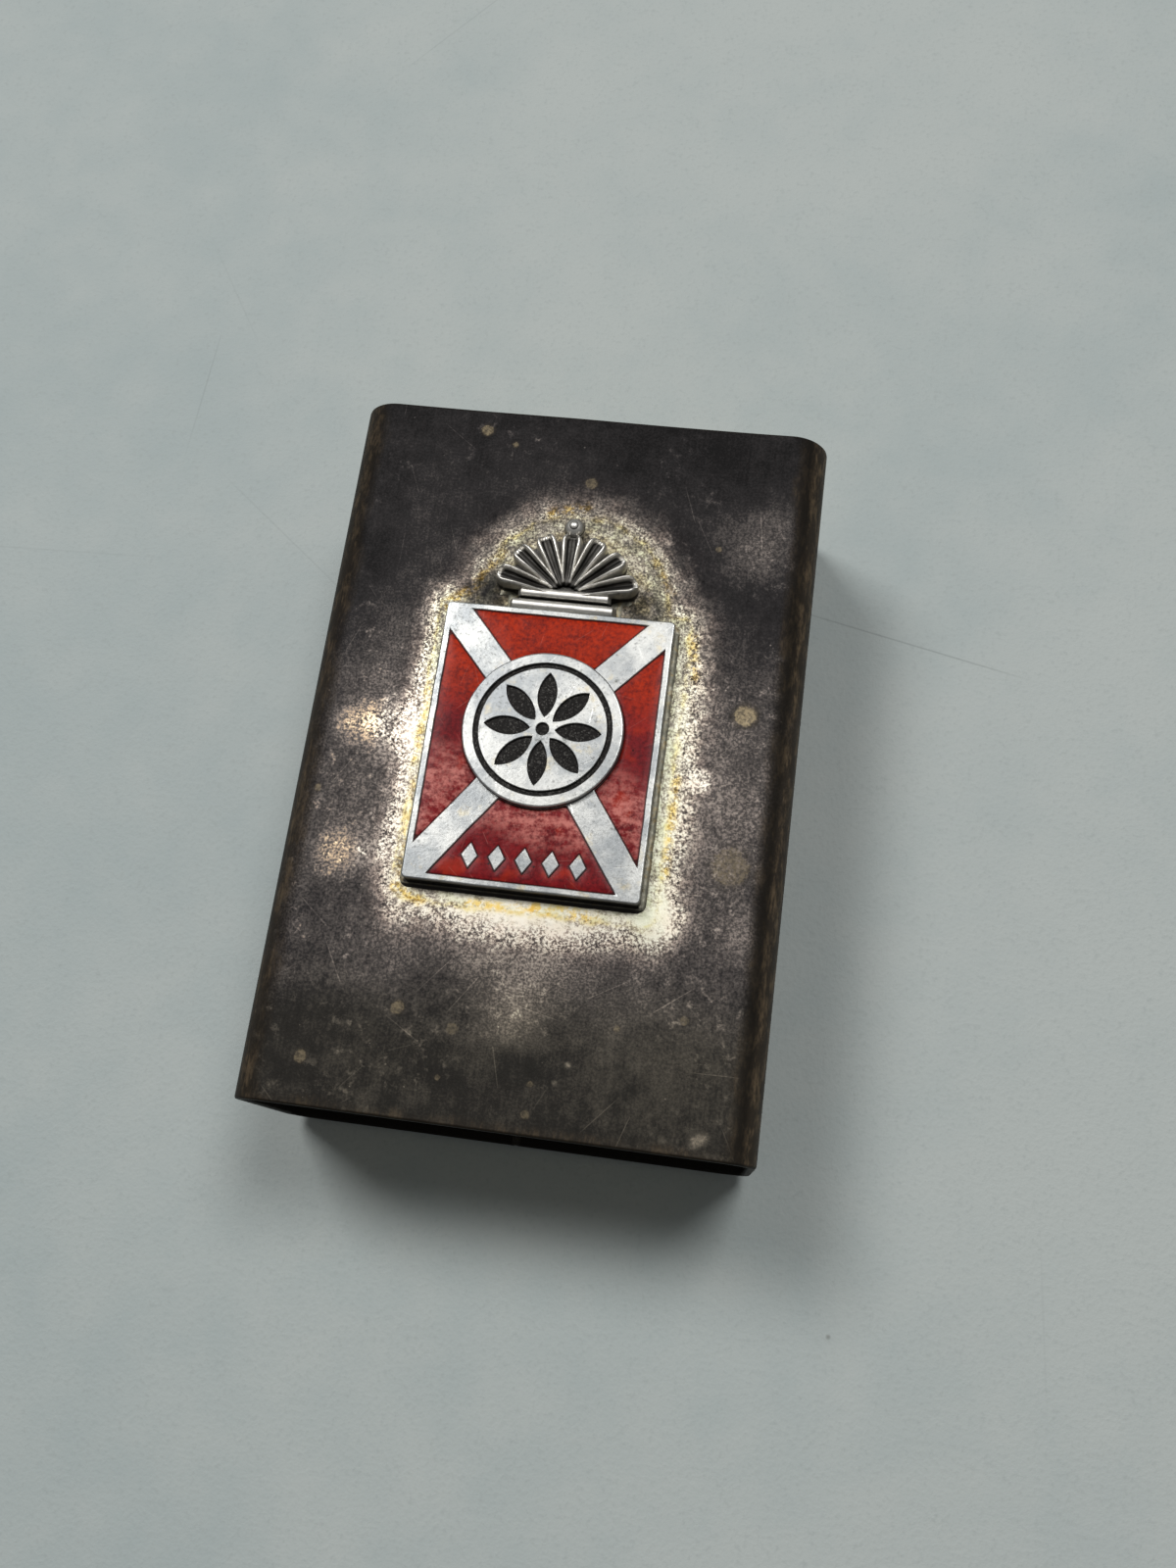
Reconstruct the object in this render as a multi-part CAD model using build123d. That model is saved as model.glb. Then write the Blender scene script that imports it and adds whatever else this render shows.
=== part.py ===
from build123d import *
import os
from math import atan2, degrees, hypot, sqrt

# A matchbox holder: a flat metal sleeve, open at both ends, with an enamelled badge soldered
# to its top and a box of matches inside it. Millimetres. X runs across the sleeve, Y along it
# and Z up. The origin is the middle of the underside. The near end is at -Y.

# Sleeve: one sheet of plated brass, bent round and closed by a soldered butt seam underneath
sleeve_width = 39.0
sleeve_length = 58.0
sleeve_height = 19.0
sheet_thickness = 0.7
bend_radius = 3.0
worn_rim_radius = 0.25
seam_gap = 0.3
window_end_land = 8.0
window_side_land = 4.5
window_corner_radius = 2.0

# Badge: a silver plate with four enamel cells, a round medallion over them, and a crest above
badge_width = 18.0
badge_height = 22.5
badge_thickness = 1.5
badge_place_y = -0.35
badge_corner_radius = 0.35
badge_edge_radius = 0.12
badge_rim_width = 0.5
cell_depth = 0.55
enamel_below_rim = 0.06
band_width = 2.4
band_centre_above_middle = 1.3
solder_thickness = 0.12
solder_margin = 0.4

# Lozenges left standing in a row across the lowest cell
lozenge_count = 5
lozenge_width = 1.3
lozenge_height = 2.0
lozenge_pitch = 2.05
lozenge_row_above_rim = 1.75

# Medallion: a thick disc with a ring and an eight-petalled rosette cut into its face
medallion_radius = 6.2
medallion_thickness = 0.5
medallion_edge_radius = 0.15
engraving_depth = 0.22
ring_margin = 0.85
ring_width = 0.4
petal_count = 8
petal_gap = 0.4
petal_inner_radius = 0.95
petal_width = 1.45
rosette_eye_radius = 0.5

# Crest: a cast fan of leaves on a moulded foot, with a bead on top
foot_width = 8.4
foot_depth = 0.9
foot_height = 1.5
moulding_step = 0.5
moulding_depth = 0.85
moulding_height = 1.2
moulding_gap = 0.3
crest_edge_radius = 0.2
fan_back_height = 0.7
fan_reach = 4.9
leaf_count = 7
leaf_spread = 76.0
leaf_length = 4.5
leaf_side_length = 5.0
leaf_tip_width = 1.75
leaf_root_width = 0.9
leaf_height = 1.7
leaf_root_radius = 0.8
leaf_edge_radius = 0.4
bead_radius = 0.85
bead_sunk = 0.3

# Box of matches: a card cover with a label above and below and a striking strip each side
matchbox_recess = 2.0
matchbox_corner_gap = 0.15
card_thickness = 0.5
card_crease_radius = 0.3
label_thickness = 0.1
label_margin = 0.6
strip_thickness = 0.15
strip_margin = 1.1
tray_gap = 0.25
tray_card_thickness = 0.45
tray_length_gap = 0.3
tray_corner_radius = 0.4

# Matches: square splints in layers, all with their heads at the near end, in a box half used up
match_fill_share = 0.55
splint_side = 2.1
head_radius = 1.2
head_length = 3.3
head_round_share = 0.55
head_gap_across = 0.1
head_gap_up = 0.05
match_floor_gap = 0.15
match_near_gap = 1.2
match_far_gap = 2.5
match_stagger = 0.3
match_stagger_steps = 5
steps_per_match = 3
steps_per_layer = 2

# One overrun serves every cut that has to pass right through
cut_overrun = 1.0

# Worked out from the sizes above
sleeve_inner_width = sleeve_width - 2 * sheet_thickness
sleeve_inner_height = sleeve_height - 2 * sheet_thickness
sleeve_inner_radius = bend_radius - sheet_thickness
window_length = sleeve_length - 2 * window_end_land
window_height = sleeve_height - 2 * window_side_land
badge_seat = sleeve_height + solder_thickness
badge_top = badge_seat + badge_thickness
badge_upper_edge = badge_place_y + badge_height / 2
band_centre_y = badge_place_y + band_centre_above_middle
cell_floor = badge_top - cell_depth
ring_outer_radius = medallion_radius - ring_margin
petal_outer_radius = ring_outer_radius - ring_width - petal_gap
moulding_width = foot_width - 2 * moulding_step
fan_centre = foot_depth + moulding_gap + moulding_depth / 2
matchbox_corner_radius = card_crease_radius + card_thickness
bend_excess = sleeve_inner_radius - matchbox_corner_radius
matchbox_gap = (matchbox_corner_gap + (sqrt(2) - 1) * bend_excess) / sqrt(2)
matchbox_length = sleeve_length - 2 * matchbox_recess
matchbox_width = sleeve_inner_width - 2 * matchbox_gap
matchbox_height = sleeve_inner_height - 2 * matchbox_gap
matchbox_middle = sleeve_height / 2
cover_width = matchbox_width - 2 * strip_thickness
cover_height = matchbox_height - 2 * label_thickness
cover_inner_width = cover_width - 2 * card_thickness
cover_inner_height = cover_height - 2 * card_thickness
tray_width = cover_inner_width - 2 * tray_gap
tray_height = cover_inner_height - 2 * tray_gap
tray_length = matchbox_length - 2 * tray_length_gap
tray_bottom = matchbox_middle - tray_height / 2
tray_floor = tray_bottom + tray_card_thickness
tray_inner_width = tray_width - 2 * tray_card_thickness
tray_inner_length = tray_length - 2 * tray_card_thickness
splint_length = tray_inner_length - match_near_gap - head_length - match_far_gap
match_pitch_across = 2 * head_radius + head_gap_across
match_pitch_up = 2 * head_radius + head_gap_up
matches_per_layer = int(tray_inner_width / match_pitch_across)
match_layers = int(match_fill_share * (tray_height - tray_card_thickness) / match_pitch_up)


def along_y(section, length):
    """A section drawn in X and Z, drawn out along Y and centred on the origin."""
    return extrude(Plane.XZ * section, amount=length / 2, both=True)


def flat_prism(outline, bottom, height):
    """An outline drawn in X and Y, raised from a given level."""
    return extrude(Pos(0, 0, bottom) * outline, amount=height)


def top_edges(solid):
    return solid.edges().group_by(Axis.Z)[-1]


def sleeve_shell():
    """The bent sheet, with its worn end rims, its striking windows and its butt seam."""
    middle = Pos(0, sleeve_height / 2)
    outside = along_y(middle * RectangleRounded(sleeve_width, sleeve_height, bend_radius), sleeve_length)
    end_edges = outside.edges().group_by(Axis.Y)
    outside = fillet(end_edges[0] + end_edges[-1], worn_rim_radius)
    hollow_section = middle * RectangleRounded(sleeve_inner_width, sleeve_inner_height, sleeve_inner_radius)
    shell = outside - along_y(hollow_section, sleeve_length + cut_overrun)
    window = RectangleRounded(window_length, window_height, window_corner_radius)
    window_cut = extrude(Plane.YZ * Pos(0, sleeve_height / 2) * window, amount=sleeve_width, both=True)
    seam = Box(seam_gap, sleeve_length + cut_overrun, 2 * sheet_thickness + cut_overrun)
    return shell - window_cut - seam


def seam_solder():
    """The bead of solder that fills the butt seam, flush with both faces of the sheet."""
    length = sleeve_length - 2 * worn_rim_radius
    return Pos(0, 0, sheet_thickness / 2) * Box(seam_gap, length, sheet_thickness)


def badge_outline(margin):
    width = badge_width + 2 * margin
    height = badge_height + 2 * margin
    return Pos(0, badge_place_y) * RectangleRounded(width, height, badge_corner_radius + margin)


def saltire():
    """Two bands that run from corner to corner of the badge and cross behind the medallion."""
    arms = []
    for side_x in (-1, 1):
        for side_y in (-1, 1):
            run_x = side_x * badge_width / 2
            run_y = badge_place_y + side_y * badge_height / 2 - band_centre_y
            length = hypot(run_x, run_y)
            turn = degrees(atan2(run_y, run_x))
            arm = Rectangle(length, band_width, align=(Align.MIN, Align.CENTER))
            arms.append(Pos(0, band_centre_y) * Rot(0, 0, turn) * arm)
    return Sketch() + arms


def lozenges():
    """The row of small lozenges that stands in the lowest cell."""
    row_y = badge_place_y - badge_height / 2 + badge_rim_width + lozenge_row_above_rim
    half_width = lozenge_width / 2
    half_height = lozenge_height / 2
    corners = [(half_width, 0), (0, half_height), (-half_width, 0), (0, -half_height)]
    shape = Polygon(*corners, align=None)
    middle = (lozenge_count - 1) / 2
    row = [Pos((number - middle) * lozenge_pitch, row_y) * shape for number in range(lozenge_count)]
    return Sketch() + row


def enamel_cells():
    """The outlines of the four cells, as upper, lower, left and right."""
    inner_width = badge_width - 2 * badge_rim_width
    inner_height = badge_height - 2 * badge_rim_width
    field = Pos(0, badge_place_y) * Rectangle(inner_width, inner_height)
    medallion_place = Pos(0, band_centre_y) * Circle(medallion_radius)
    cells = (field - saltire() - medallion_place - lozenges()).faces()
    by_height = cells.sort_by(Axis.Y)
    by_side = cells.sort_by(Axis.X)
    return {"upper": by_height[-1], "lower": by_height[0], "left": by_side[0], "right": by_side[-1]}


def badge_plate(cells):
    plate = flat_prism(badge_outline(0), badge_seat, badge_thickness)
    plate = fillet(top_edges(plate), badge_edge_radius)
    for cell in cells.values():
        plate -= flat_prism(cell, cell_floor, cell_depth + cut_overrun)
    return plate


def enamel_fill(cell):
    return flat_prism(cell, cell_floor, cell_depth - enamel_below_rim)


def rosette():
    """Eight pointed petals and an eye, as they are cut into the medallion."""
    half_length = (petal_outer_radius - petal_inner_radius) / 2
    half_width = petal_width / 2
    arc_radius = (half_length**2 + half_width**2) / (2 * half_width)
    middle = Pos((petal_outer_radius + petal_inner_radius) / 2, 0)
    offset = arc_radius - half_width
    petal = middle * (Pos(0, offset) * Circle(arc_radius) & Pos(0, -offset) * Circle(arc_radius))
    petals = [Rot(0, 0, 360 * number / petal_count) * petal for number in range(petal_count)]
    return Sketch() + petals + Circle(rosette_eye_radius)


def medallion():
    disc = flat_prism(Circle(medallion_radius), badge_top, medallion_thickness)
    disc = fillet(top_edges(disc), medallion_edge_radius)
    ring = Circle(ring_outer_radius) - Circle(ring_outer_radius - ring_width)
    engraving_floor = badge_top + medallion_thickness - engraving_depth
    for outline in (ring, rosette()):
        disc -= flat_prism(outline, engraving_floor, engraving_depth + cut_overrun)
    return Pos(0, band_centre_y, 0) * disc


def leaf(number):
    """One leaf of the fan, drop-shaped, turned by its share of the spread."""
    middle = (leaf_count - 1) / 2
    share = (number - middle) / middle
    length = leaf_length + (leaf_side_length - leaf_length) * abs(share)
    root = Pos(0, leaf_root_radius + leaf_root_width / 2) * Circle(leaf_root_width / 2)
    tip = Pos(0, leaf_root_radius + length - leaf_tip_width / 2) * Circle(leaf_tip_width / 2)
    outline = make_hull((root + tip).edges())
    blade = extrude(outline, amount=leaf_height)
    blade = fillet(top_edges(blade), leaf_edge_radius)
    return Rot(0, 0, -leaf_spread * share) * blade


def fan_outline(reach):
    return Circle(reach) & Rectangle(2 * reach, reach, align=(Align.CENTER, Align.MIN))


def crest():
    """The cast crest: foot, moulding, fan back, leaves and bead, as one casting."""
    foot = Pos(0, foot_depth / 2, foot_height / 2) * Box(foot_width, foot_depth, foot_height)
    foot = fillet(top_edges(foot), crest_edge_radius)
    moulding = Pos(0, fan_centre, moulding_height / 2) * Box(moulding_width, moulding_depth, moulding_height)
    moulding = fillet(top_edges(moulding), crest_edge_radius)
    neck = Rectangle(moulding_width, fan_centre, align=(Align.CENTER, Align.MIN))
    back = extrude(Pos(0, fan_centre) * fan_outline(fan_reach) + neck, amount=fan_back_height)
    leaves = [Pos(0, fan_centre, 0) * leaf(number) for number in range(leaf_count)]
    bead_y = fan_centre + leaf_root_radius + leaf_length + bead_radius - bead_sunk
    bead = Pos(0, bead_y, bead_radius) * Sphere(bead_radius)
    casting = back + foot + moulding + leaves + bead
    return Pos(0, badge_upper_edge, badge_seat) * casting


def badge_solder():
    """The thin bed of solder under the badge and the crest, spread a little past both."""
    foot_spread = Rectangle(foot_width + 2 * solder_margin, 2 * fan_centre)
    fan_spread = Pos(0, fan_centre) * fan_outline(fan_reach + solder_margin)
    bed = badge_outline(solder_margin) + Pos(0, badge_upper_edge) * (foot_spread + fan_spread)
    return flat_prism(bed, sleeve_height, solder_thickness)


def matchbox_section(width, height, radius):
    return Pos(0, matchbox_middle) * RectangleRounded(width, height, radius)


def cover():
    outer = matchbox_section(cover_width, cover_height, matchbox_corner_radius)
    inner = matchbox_section(cover_inner_width, cover_inner_height, card_crease_radius)
    return along_y(outer, matchbox_length) - along_y(inner, matchbox_length + cut_overrun)


def striking_strip(side):
    height = cover_height - 2 * strip_margin
    place = Pos(side * (cover_width + strip_thickness) / 2, 0, matchbox_middle)
    return place * Box(strip_thickness, matchbox_length, height)


def label(side):
    width = cover_width - 2 * (matchbox_corner_radius + label_margin)
    length = matchbox_length - 2 * label_margin
    place = Pos(0, 0, matchbox_middle + side * (cover_height + label_thickness) / 2)
    return place * Box(width, length, label_thickness)


def tray():
    outline = RectangleRounded(tray_width, tray_length, tray_corner_radius)
    inside = Rectangle(tray_inner_width, tray_inner_length)
    block = flat_prism(outline, tray_bottom, tray_height)
    return block - flat_prism(inside, tray_floor, tray_height)


def match_places():
    """The axis of each match as X, the near end of its head as Y, and Z."""
    middle = (matches_per_layer - 1) / 2
    near_end = -tray_inner_length / 2 + match_near_gap
    places = []
    for layer in range(match_layers):
        height = tray_floor + match_floor_gap + head_radius + layer * match_pitch_up
        for number in range(matches_per_layer):
            step = (number * steps_per_match + layer * steps_per_layer) % match_stagger_steps
            across = (number - middle) * match_pitch_across
            places.append((across, near_end + step * match_stagger, height))
    return places


def match_splints():
    splint = Box(splint_side, splint_length, splint_side, align=(Align.CENTER, Align.MIN, Align.CENTER))
    return Compound([Pos(x, y + head_length, z) * splint for x, y, z in match_places()])


def match_heads():
    """Each head is a short barrel with a domed tip, which meets its splint face to face."""
    dome = head_length * head_round_share
    barrel_end = (head_radius, dome)
    tip = Spline((0, 0), barrel_end, tangents=((1, 0), (0, 1)))
    outline = tip + Polyline(barrel_end, (head_radius, head_length), (0, head_length), (0, 0))
    head = revolve(make_face(outline), axis=Axis.Y)
    return Compound([Pos(x, y, z) * head for x, y, z in match_places()])


def main():
    cells = enamel_cells()
    parts = {
        "sleeve_shell": sleeve_shell(),
        "seam_solder": seam_solder(),
        "badge_solder": badge_solder(),
        "badge_plate": badge_plate(cells),
        "medallion": medallion(),
        "crest": crest(),
        "matchbox_cover": cover(),
        "striking_strip_left": striking_strip(-1),
        "striking_strip_right": striking_strip(1),
        "label_upper": label(1),
        "label_lower": label(-1),
        "match_tray": tray(),
        "match_splints": match_splints(),
        "match_heads": match_heads(),
    }
    for place, cell in cells.items():
        parts[f"enamel_{place}"] = enamel_fill(cell)
    os.makedirs("parts", exist_ok=True)
    for node, shape in parts.items():
        export_step(shape, f"parts/{node}.step")


main()
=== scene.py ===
import math

import bmesh
import bpy
import numpy as np
from mathutils import Matrix, Vector, geometry, noise


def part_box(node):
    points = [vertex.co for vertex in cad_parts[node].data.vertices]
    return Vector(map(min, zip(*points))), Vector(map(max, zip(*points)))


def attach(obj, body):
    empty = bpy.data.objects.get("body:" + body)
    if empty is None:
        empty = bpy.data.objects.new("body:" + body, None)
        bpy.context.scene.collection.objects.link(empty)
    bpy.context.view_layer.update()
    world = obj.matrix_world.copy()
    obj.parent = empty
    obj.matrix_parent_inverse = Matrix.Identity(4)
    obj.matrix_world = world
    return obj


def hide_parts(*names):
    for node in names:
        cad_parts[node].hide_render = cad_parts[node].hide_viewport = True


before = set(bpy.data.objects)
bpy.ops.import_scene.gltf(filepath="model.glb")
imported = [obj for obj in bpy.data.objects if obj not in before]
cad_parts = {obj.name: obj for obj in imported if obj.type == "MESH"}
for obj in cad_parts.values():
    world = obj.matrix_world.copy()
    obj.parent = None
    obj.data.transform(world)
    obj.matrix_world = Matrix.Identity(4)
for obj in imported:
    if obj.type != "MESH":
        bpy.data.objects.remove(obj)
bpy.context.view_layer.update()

# The sleeve: one sheet of brass bent round a block, with its edges brought together underneath.
# It was silver plated. The plate has gone nearly black, is worn to the brass along its edges,
# and has stayed pale round the badge, where soldering and polishing reached it.
mm = 0.001


def box_mm(node):
    low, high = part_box(node)
    return low / mm, high / mm


half_width, half_length, sleeve_height = box_mm("sleeve_shell")[1]
badge_low, badge_high = box_mm("badge_plate")
badge_middle = (badge_low + badge_high) / 2
badge_half = (badge_high - badge_low) / 2
top_wave = 0.16
top_sink = 0.05
sheet = 0.7
bend_radius = 3.0
rim_round = 0.2
half_seam = 0.15
window_end_land = 8.0
window_side_land = 4.5
window_radius = 2.0


def colour(red, green, blue):
    """A colour as a screen shows it, from 0 to 255, in the linear light that a shader takes."""
    shares = (red / 255, green / 255, blue / 255)
    linear = [s / 12.92 if s <= 0.04045 else ((s + 0.055) / 1.055) ** 2.4 for s in shares]
    return (*linear, 1.0)


class Value:
    """What comes out of a node. Sums with it add the nodes that work them out."""

    def __init__(self, graph, socket):
        self.graph = graph
        self.socket = socket

    def work(self, operation, *values):
        kinds = {value.socket.type for value in values if isinstance(value, Value)}
        add_node = self.graph.vector if kinds & {"VECTOR", "RGBA"} else self.graph.math
        return add_node(operation, *values)

    def __add__(self, other):
        return self.work("ADD", self, other)

    def __sub__(self, other):
        return self.work("SUBTRACT", self, other)

    def __rsub__(self, other):
        return self.work("SUBTRACT", other, self)

    def __mul__(self, other):
        return self.work("MULTIPLY", self, other)

    def __truediv__(self, other):
        return self.work("DIVIDE", self, other)

    def __abs__(self):
        return self.work("ABSOLUTE", self)


class Graph:
    """A node tree in the making. Each call adds a node and hands on what comes out of it."""

    def __init__(self, tree):
        self.tree = tree

    def feed(self, socket, value):
        if isinstance(value, Value):
            self.tree.links.new(value.socket, socket)
        else:
            socket.default_value = value

    def node(self, kind, inputs, *outs, **settings):
        made = self.tree.nodes.new(kind)
        for setting, value in settings.items():
            setattr(made, setting, value)
        for name, value in inputs.items():
            self.feed(made.inputs[name], value)
        found = [Value(self, made.outputs[out]) for out in outs or [0]]
        return found if len(found) > 1 else found[0]

    def math(self, operation, *values):
        return self.node("ShaderNodeMath", dict(enumerate(values)), operation=operation)

    def vector(self, operation, *values, out=0):
        return self.node("ShaderNodeVectorMath", dict(enumerate(values)), out, operation=operation)

    def scaled(self, vector, factor):
        return self.node("ShaderNodeVectorMath", {0: vector, "Scale": factor}, operation="SCALE")

    def length(self, vector):
        return self.vector("LENGTH", vector, out="Value")

    def joined(self, x=0.0, y=0.0, z=0.0):
        return self.node("ShaderNodeCombineXYZ", {0: x, 1: y, 2: z})

    def parts(self, vector):
        return self.node("ShaderNodeSeparateXYZ", {0: vector}, 0, 1, 2)

    def most(self, value, *others):
        for other in others:
            value = self.math("MAXIMUM", value, other)
        return value

    def least(self, first, second):
        return self.math("MINIMUM", first, second)

    def rise(self, value, low, high, start=0.0, end=1.0):
        """A smooth step from start to end while the value goes from low to high."""
        inputs = {"Value": value, "From Min": low, "From Max": high, "To Min": start, "To Max": end}
        return self.node("ShaderNodeMapRange", inputs, interpolation_type="SMOOTHSTEP")

    def fall(self, value, low, high):
        return self.rise(value, low, high, 1.0, 0.0)


class Finish(Graph):
    """A procedural surface, laid out in millimetres of the piece's own place in the frame."""

    def __init__(self, name):
        self.material = bpy.data.materials.new(name)
        self.material.use_nodes = True
        super().__init__(self.material.node_tree)
        self.place = self.scaled(self.node("ShaderNodeTexCoord", {}, "Object"), 1 / mm)
        self.x, self.y, self.z = self.parts(self.place)
        self.draws = 0

    def noise(self, per_mm, detail=2.0, rough=0.5, stretch=(1, 1, 1), place=None):
        """Noise of so many features to the millimetre, different at each call."""
        self.draws += 1
        where = (place or self.place) * (Vector(stretch) * per_mm)
        where = where + Vector((17.3, 5.9, 11.7)) * self.draws
        inputs = {"Vector": where, "Scale": 1.0, "Detail": detail, "Roughness": rough}
        return self.node("ShaderNodeTexNoise", inputs)

    def sway(self, amount, *noise_settings, **more_settings):
        """Noise about nought, so that it adds to a value as often as it takes away."""
        return self.noise(*noise_settings, **more_settings) * amount - 0.5 * amount

    def mottle(self, per_mm, low, high, *noise_settings, **more_settings):
        """Noise with its contrast raised: nothing below one level of it and all above another."""
        return self.rise(self.noise(per_mm, *noise_settings, **more_settings), low, high)

    def cells(self, per_mm):
        """Random cells: the way from the middle of the nearest one, and its own three chances."""
        self.draws += 1
        where = self.place + Vector((7.1, 3.7, 9.3)) * self.draws
        inputs = {"Vector": where, "Scale": per_mm}
        middle, chances = self.node("ShaderNodeTexVoronoi", inputs, "Position", "Color")
        return where - middle, chances

    def scratches(self, per_mm, half_width, reach, slant=(1, 1, 0)):
        """Straight scratches, one to a random cell, each with its own direction and depth."""
        away, chances = self.cells(per_mm)
        direction = self.vector("NORMALIZE", (chances - (0.5, 0.5, 0.5)) * slant)
        off = self.vector("DOT_PRODUCT", away, direction, out="Value")
        line = self.fall(abs(off), 0.3 * half_width, half_width)
        return line * self.fall(self.length(away), 0.6 * reach, reach) * self.parts(chances)[2]

    def dots(self, per_mm, radius, share):
        """Round dots of mixed sizes in some share of random cells."""
        away, chances = self.cells(per_mm)
        chance, growth, _ = self.parts(chances)
        size = self.rise(growth, 0.0, 1.0, 0.35, 1.0) * radius
        return self.fall(self.length(away) / size, 0.7, 1.0) * self.fall(chance, share, share + 0.01)

    def paint(self, under, over, share):
        """A colour over some share of another, each from a node or as a screen shows it."""
        under, over = [c if isinstance(c, Value) else colour(*c) for c in (under, over)]
        return self.node("ShaderNodeMix", {0: share, 6: under, 7: over}, 2, data_type="RGBA")

    def ground(self, first, second, share):
        """The tone that lies under all the rest, which goes from one colour to another."""
        self.tone = self.paint(first, second, share)

    def coat(self, shade, share):
        self.tone = self.paint(self.tone, shade, share)

    def tint(self, factors, share):
        self.tone = self.paint(self.tone, self.tone * factors, share)

    def ramp(self, value, *stops):
        """A run of colours, each given with the value that it stands for."""
        made = self.tree.nodes.new("ShaderNodeValToRGB")
        line = made.color_ramp.elements
        while len(line) < len(stops):
            line.new(1.0)
        for element, (place, shade) in zip(line, stops):
            element.position = place
            element.color = colour(*shade)
        self.feed(made.inputs[0], value)
        return Value(self, made.outputs[0])

    def mark(self, name):
        """A value that the mesh itself carries at each of its points."""
        return self.node("ShaderNodeAttribute", {}, "Fac", attribute_name=name)

    def from_spot(self, x, y):
        """How far a place is from a spot on the sleeve's top."""
        return self.length(self.place - Vector((x, y, sleeve_height)))

    def stroke(self, start, end, half_width, soft):
        """One along a straight stroke on the top, nothing away from it, with soft edges."""
        start, end = Vector((*start, sleeve_height)), Vector((*end, sleeve_height))
        run = end - start
        from_start = self.place - start
        share = self.vector("DOT_PRODUCT", from_start, run / run.length_squared, out="Value")
        nearest = self.scaled(run, self.most(self.least(share, 1.0), 0.0))
        return self.fall(self.length(from_start - nearest), half_width - soft, half_width + soft)

    def relief(self, height, depth):
        """Bumps of so many millimetres."""
        return self.node("ShaderNodeBump", {"Height": height, "Distance": depth * mm, "Strength": 1.0})

    def wear(self, **sockets):
        """Sets the shader's own sockets, by the tone and by numbers or what a node gives."""
        inputs = self.tree.nodes["Principled BSDF"].inputs
        self.feed(inputs["Base Color"], self.tone)
        for name, value in sockets.items():
            self.feed(inputs[name.replace("_", " ")], value)
        return self.material


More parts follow.
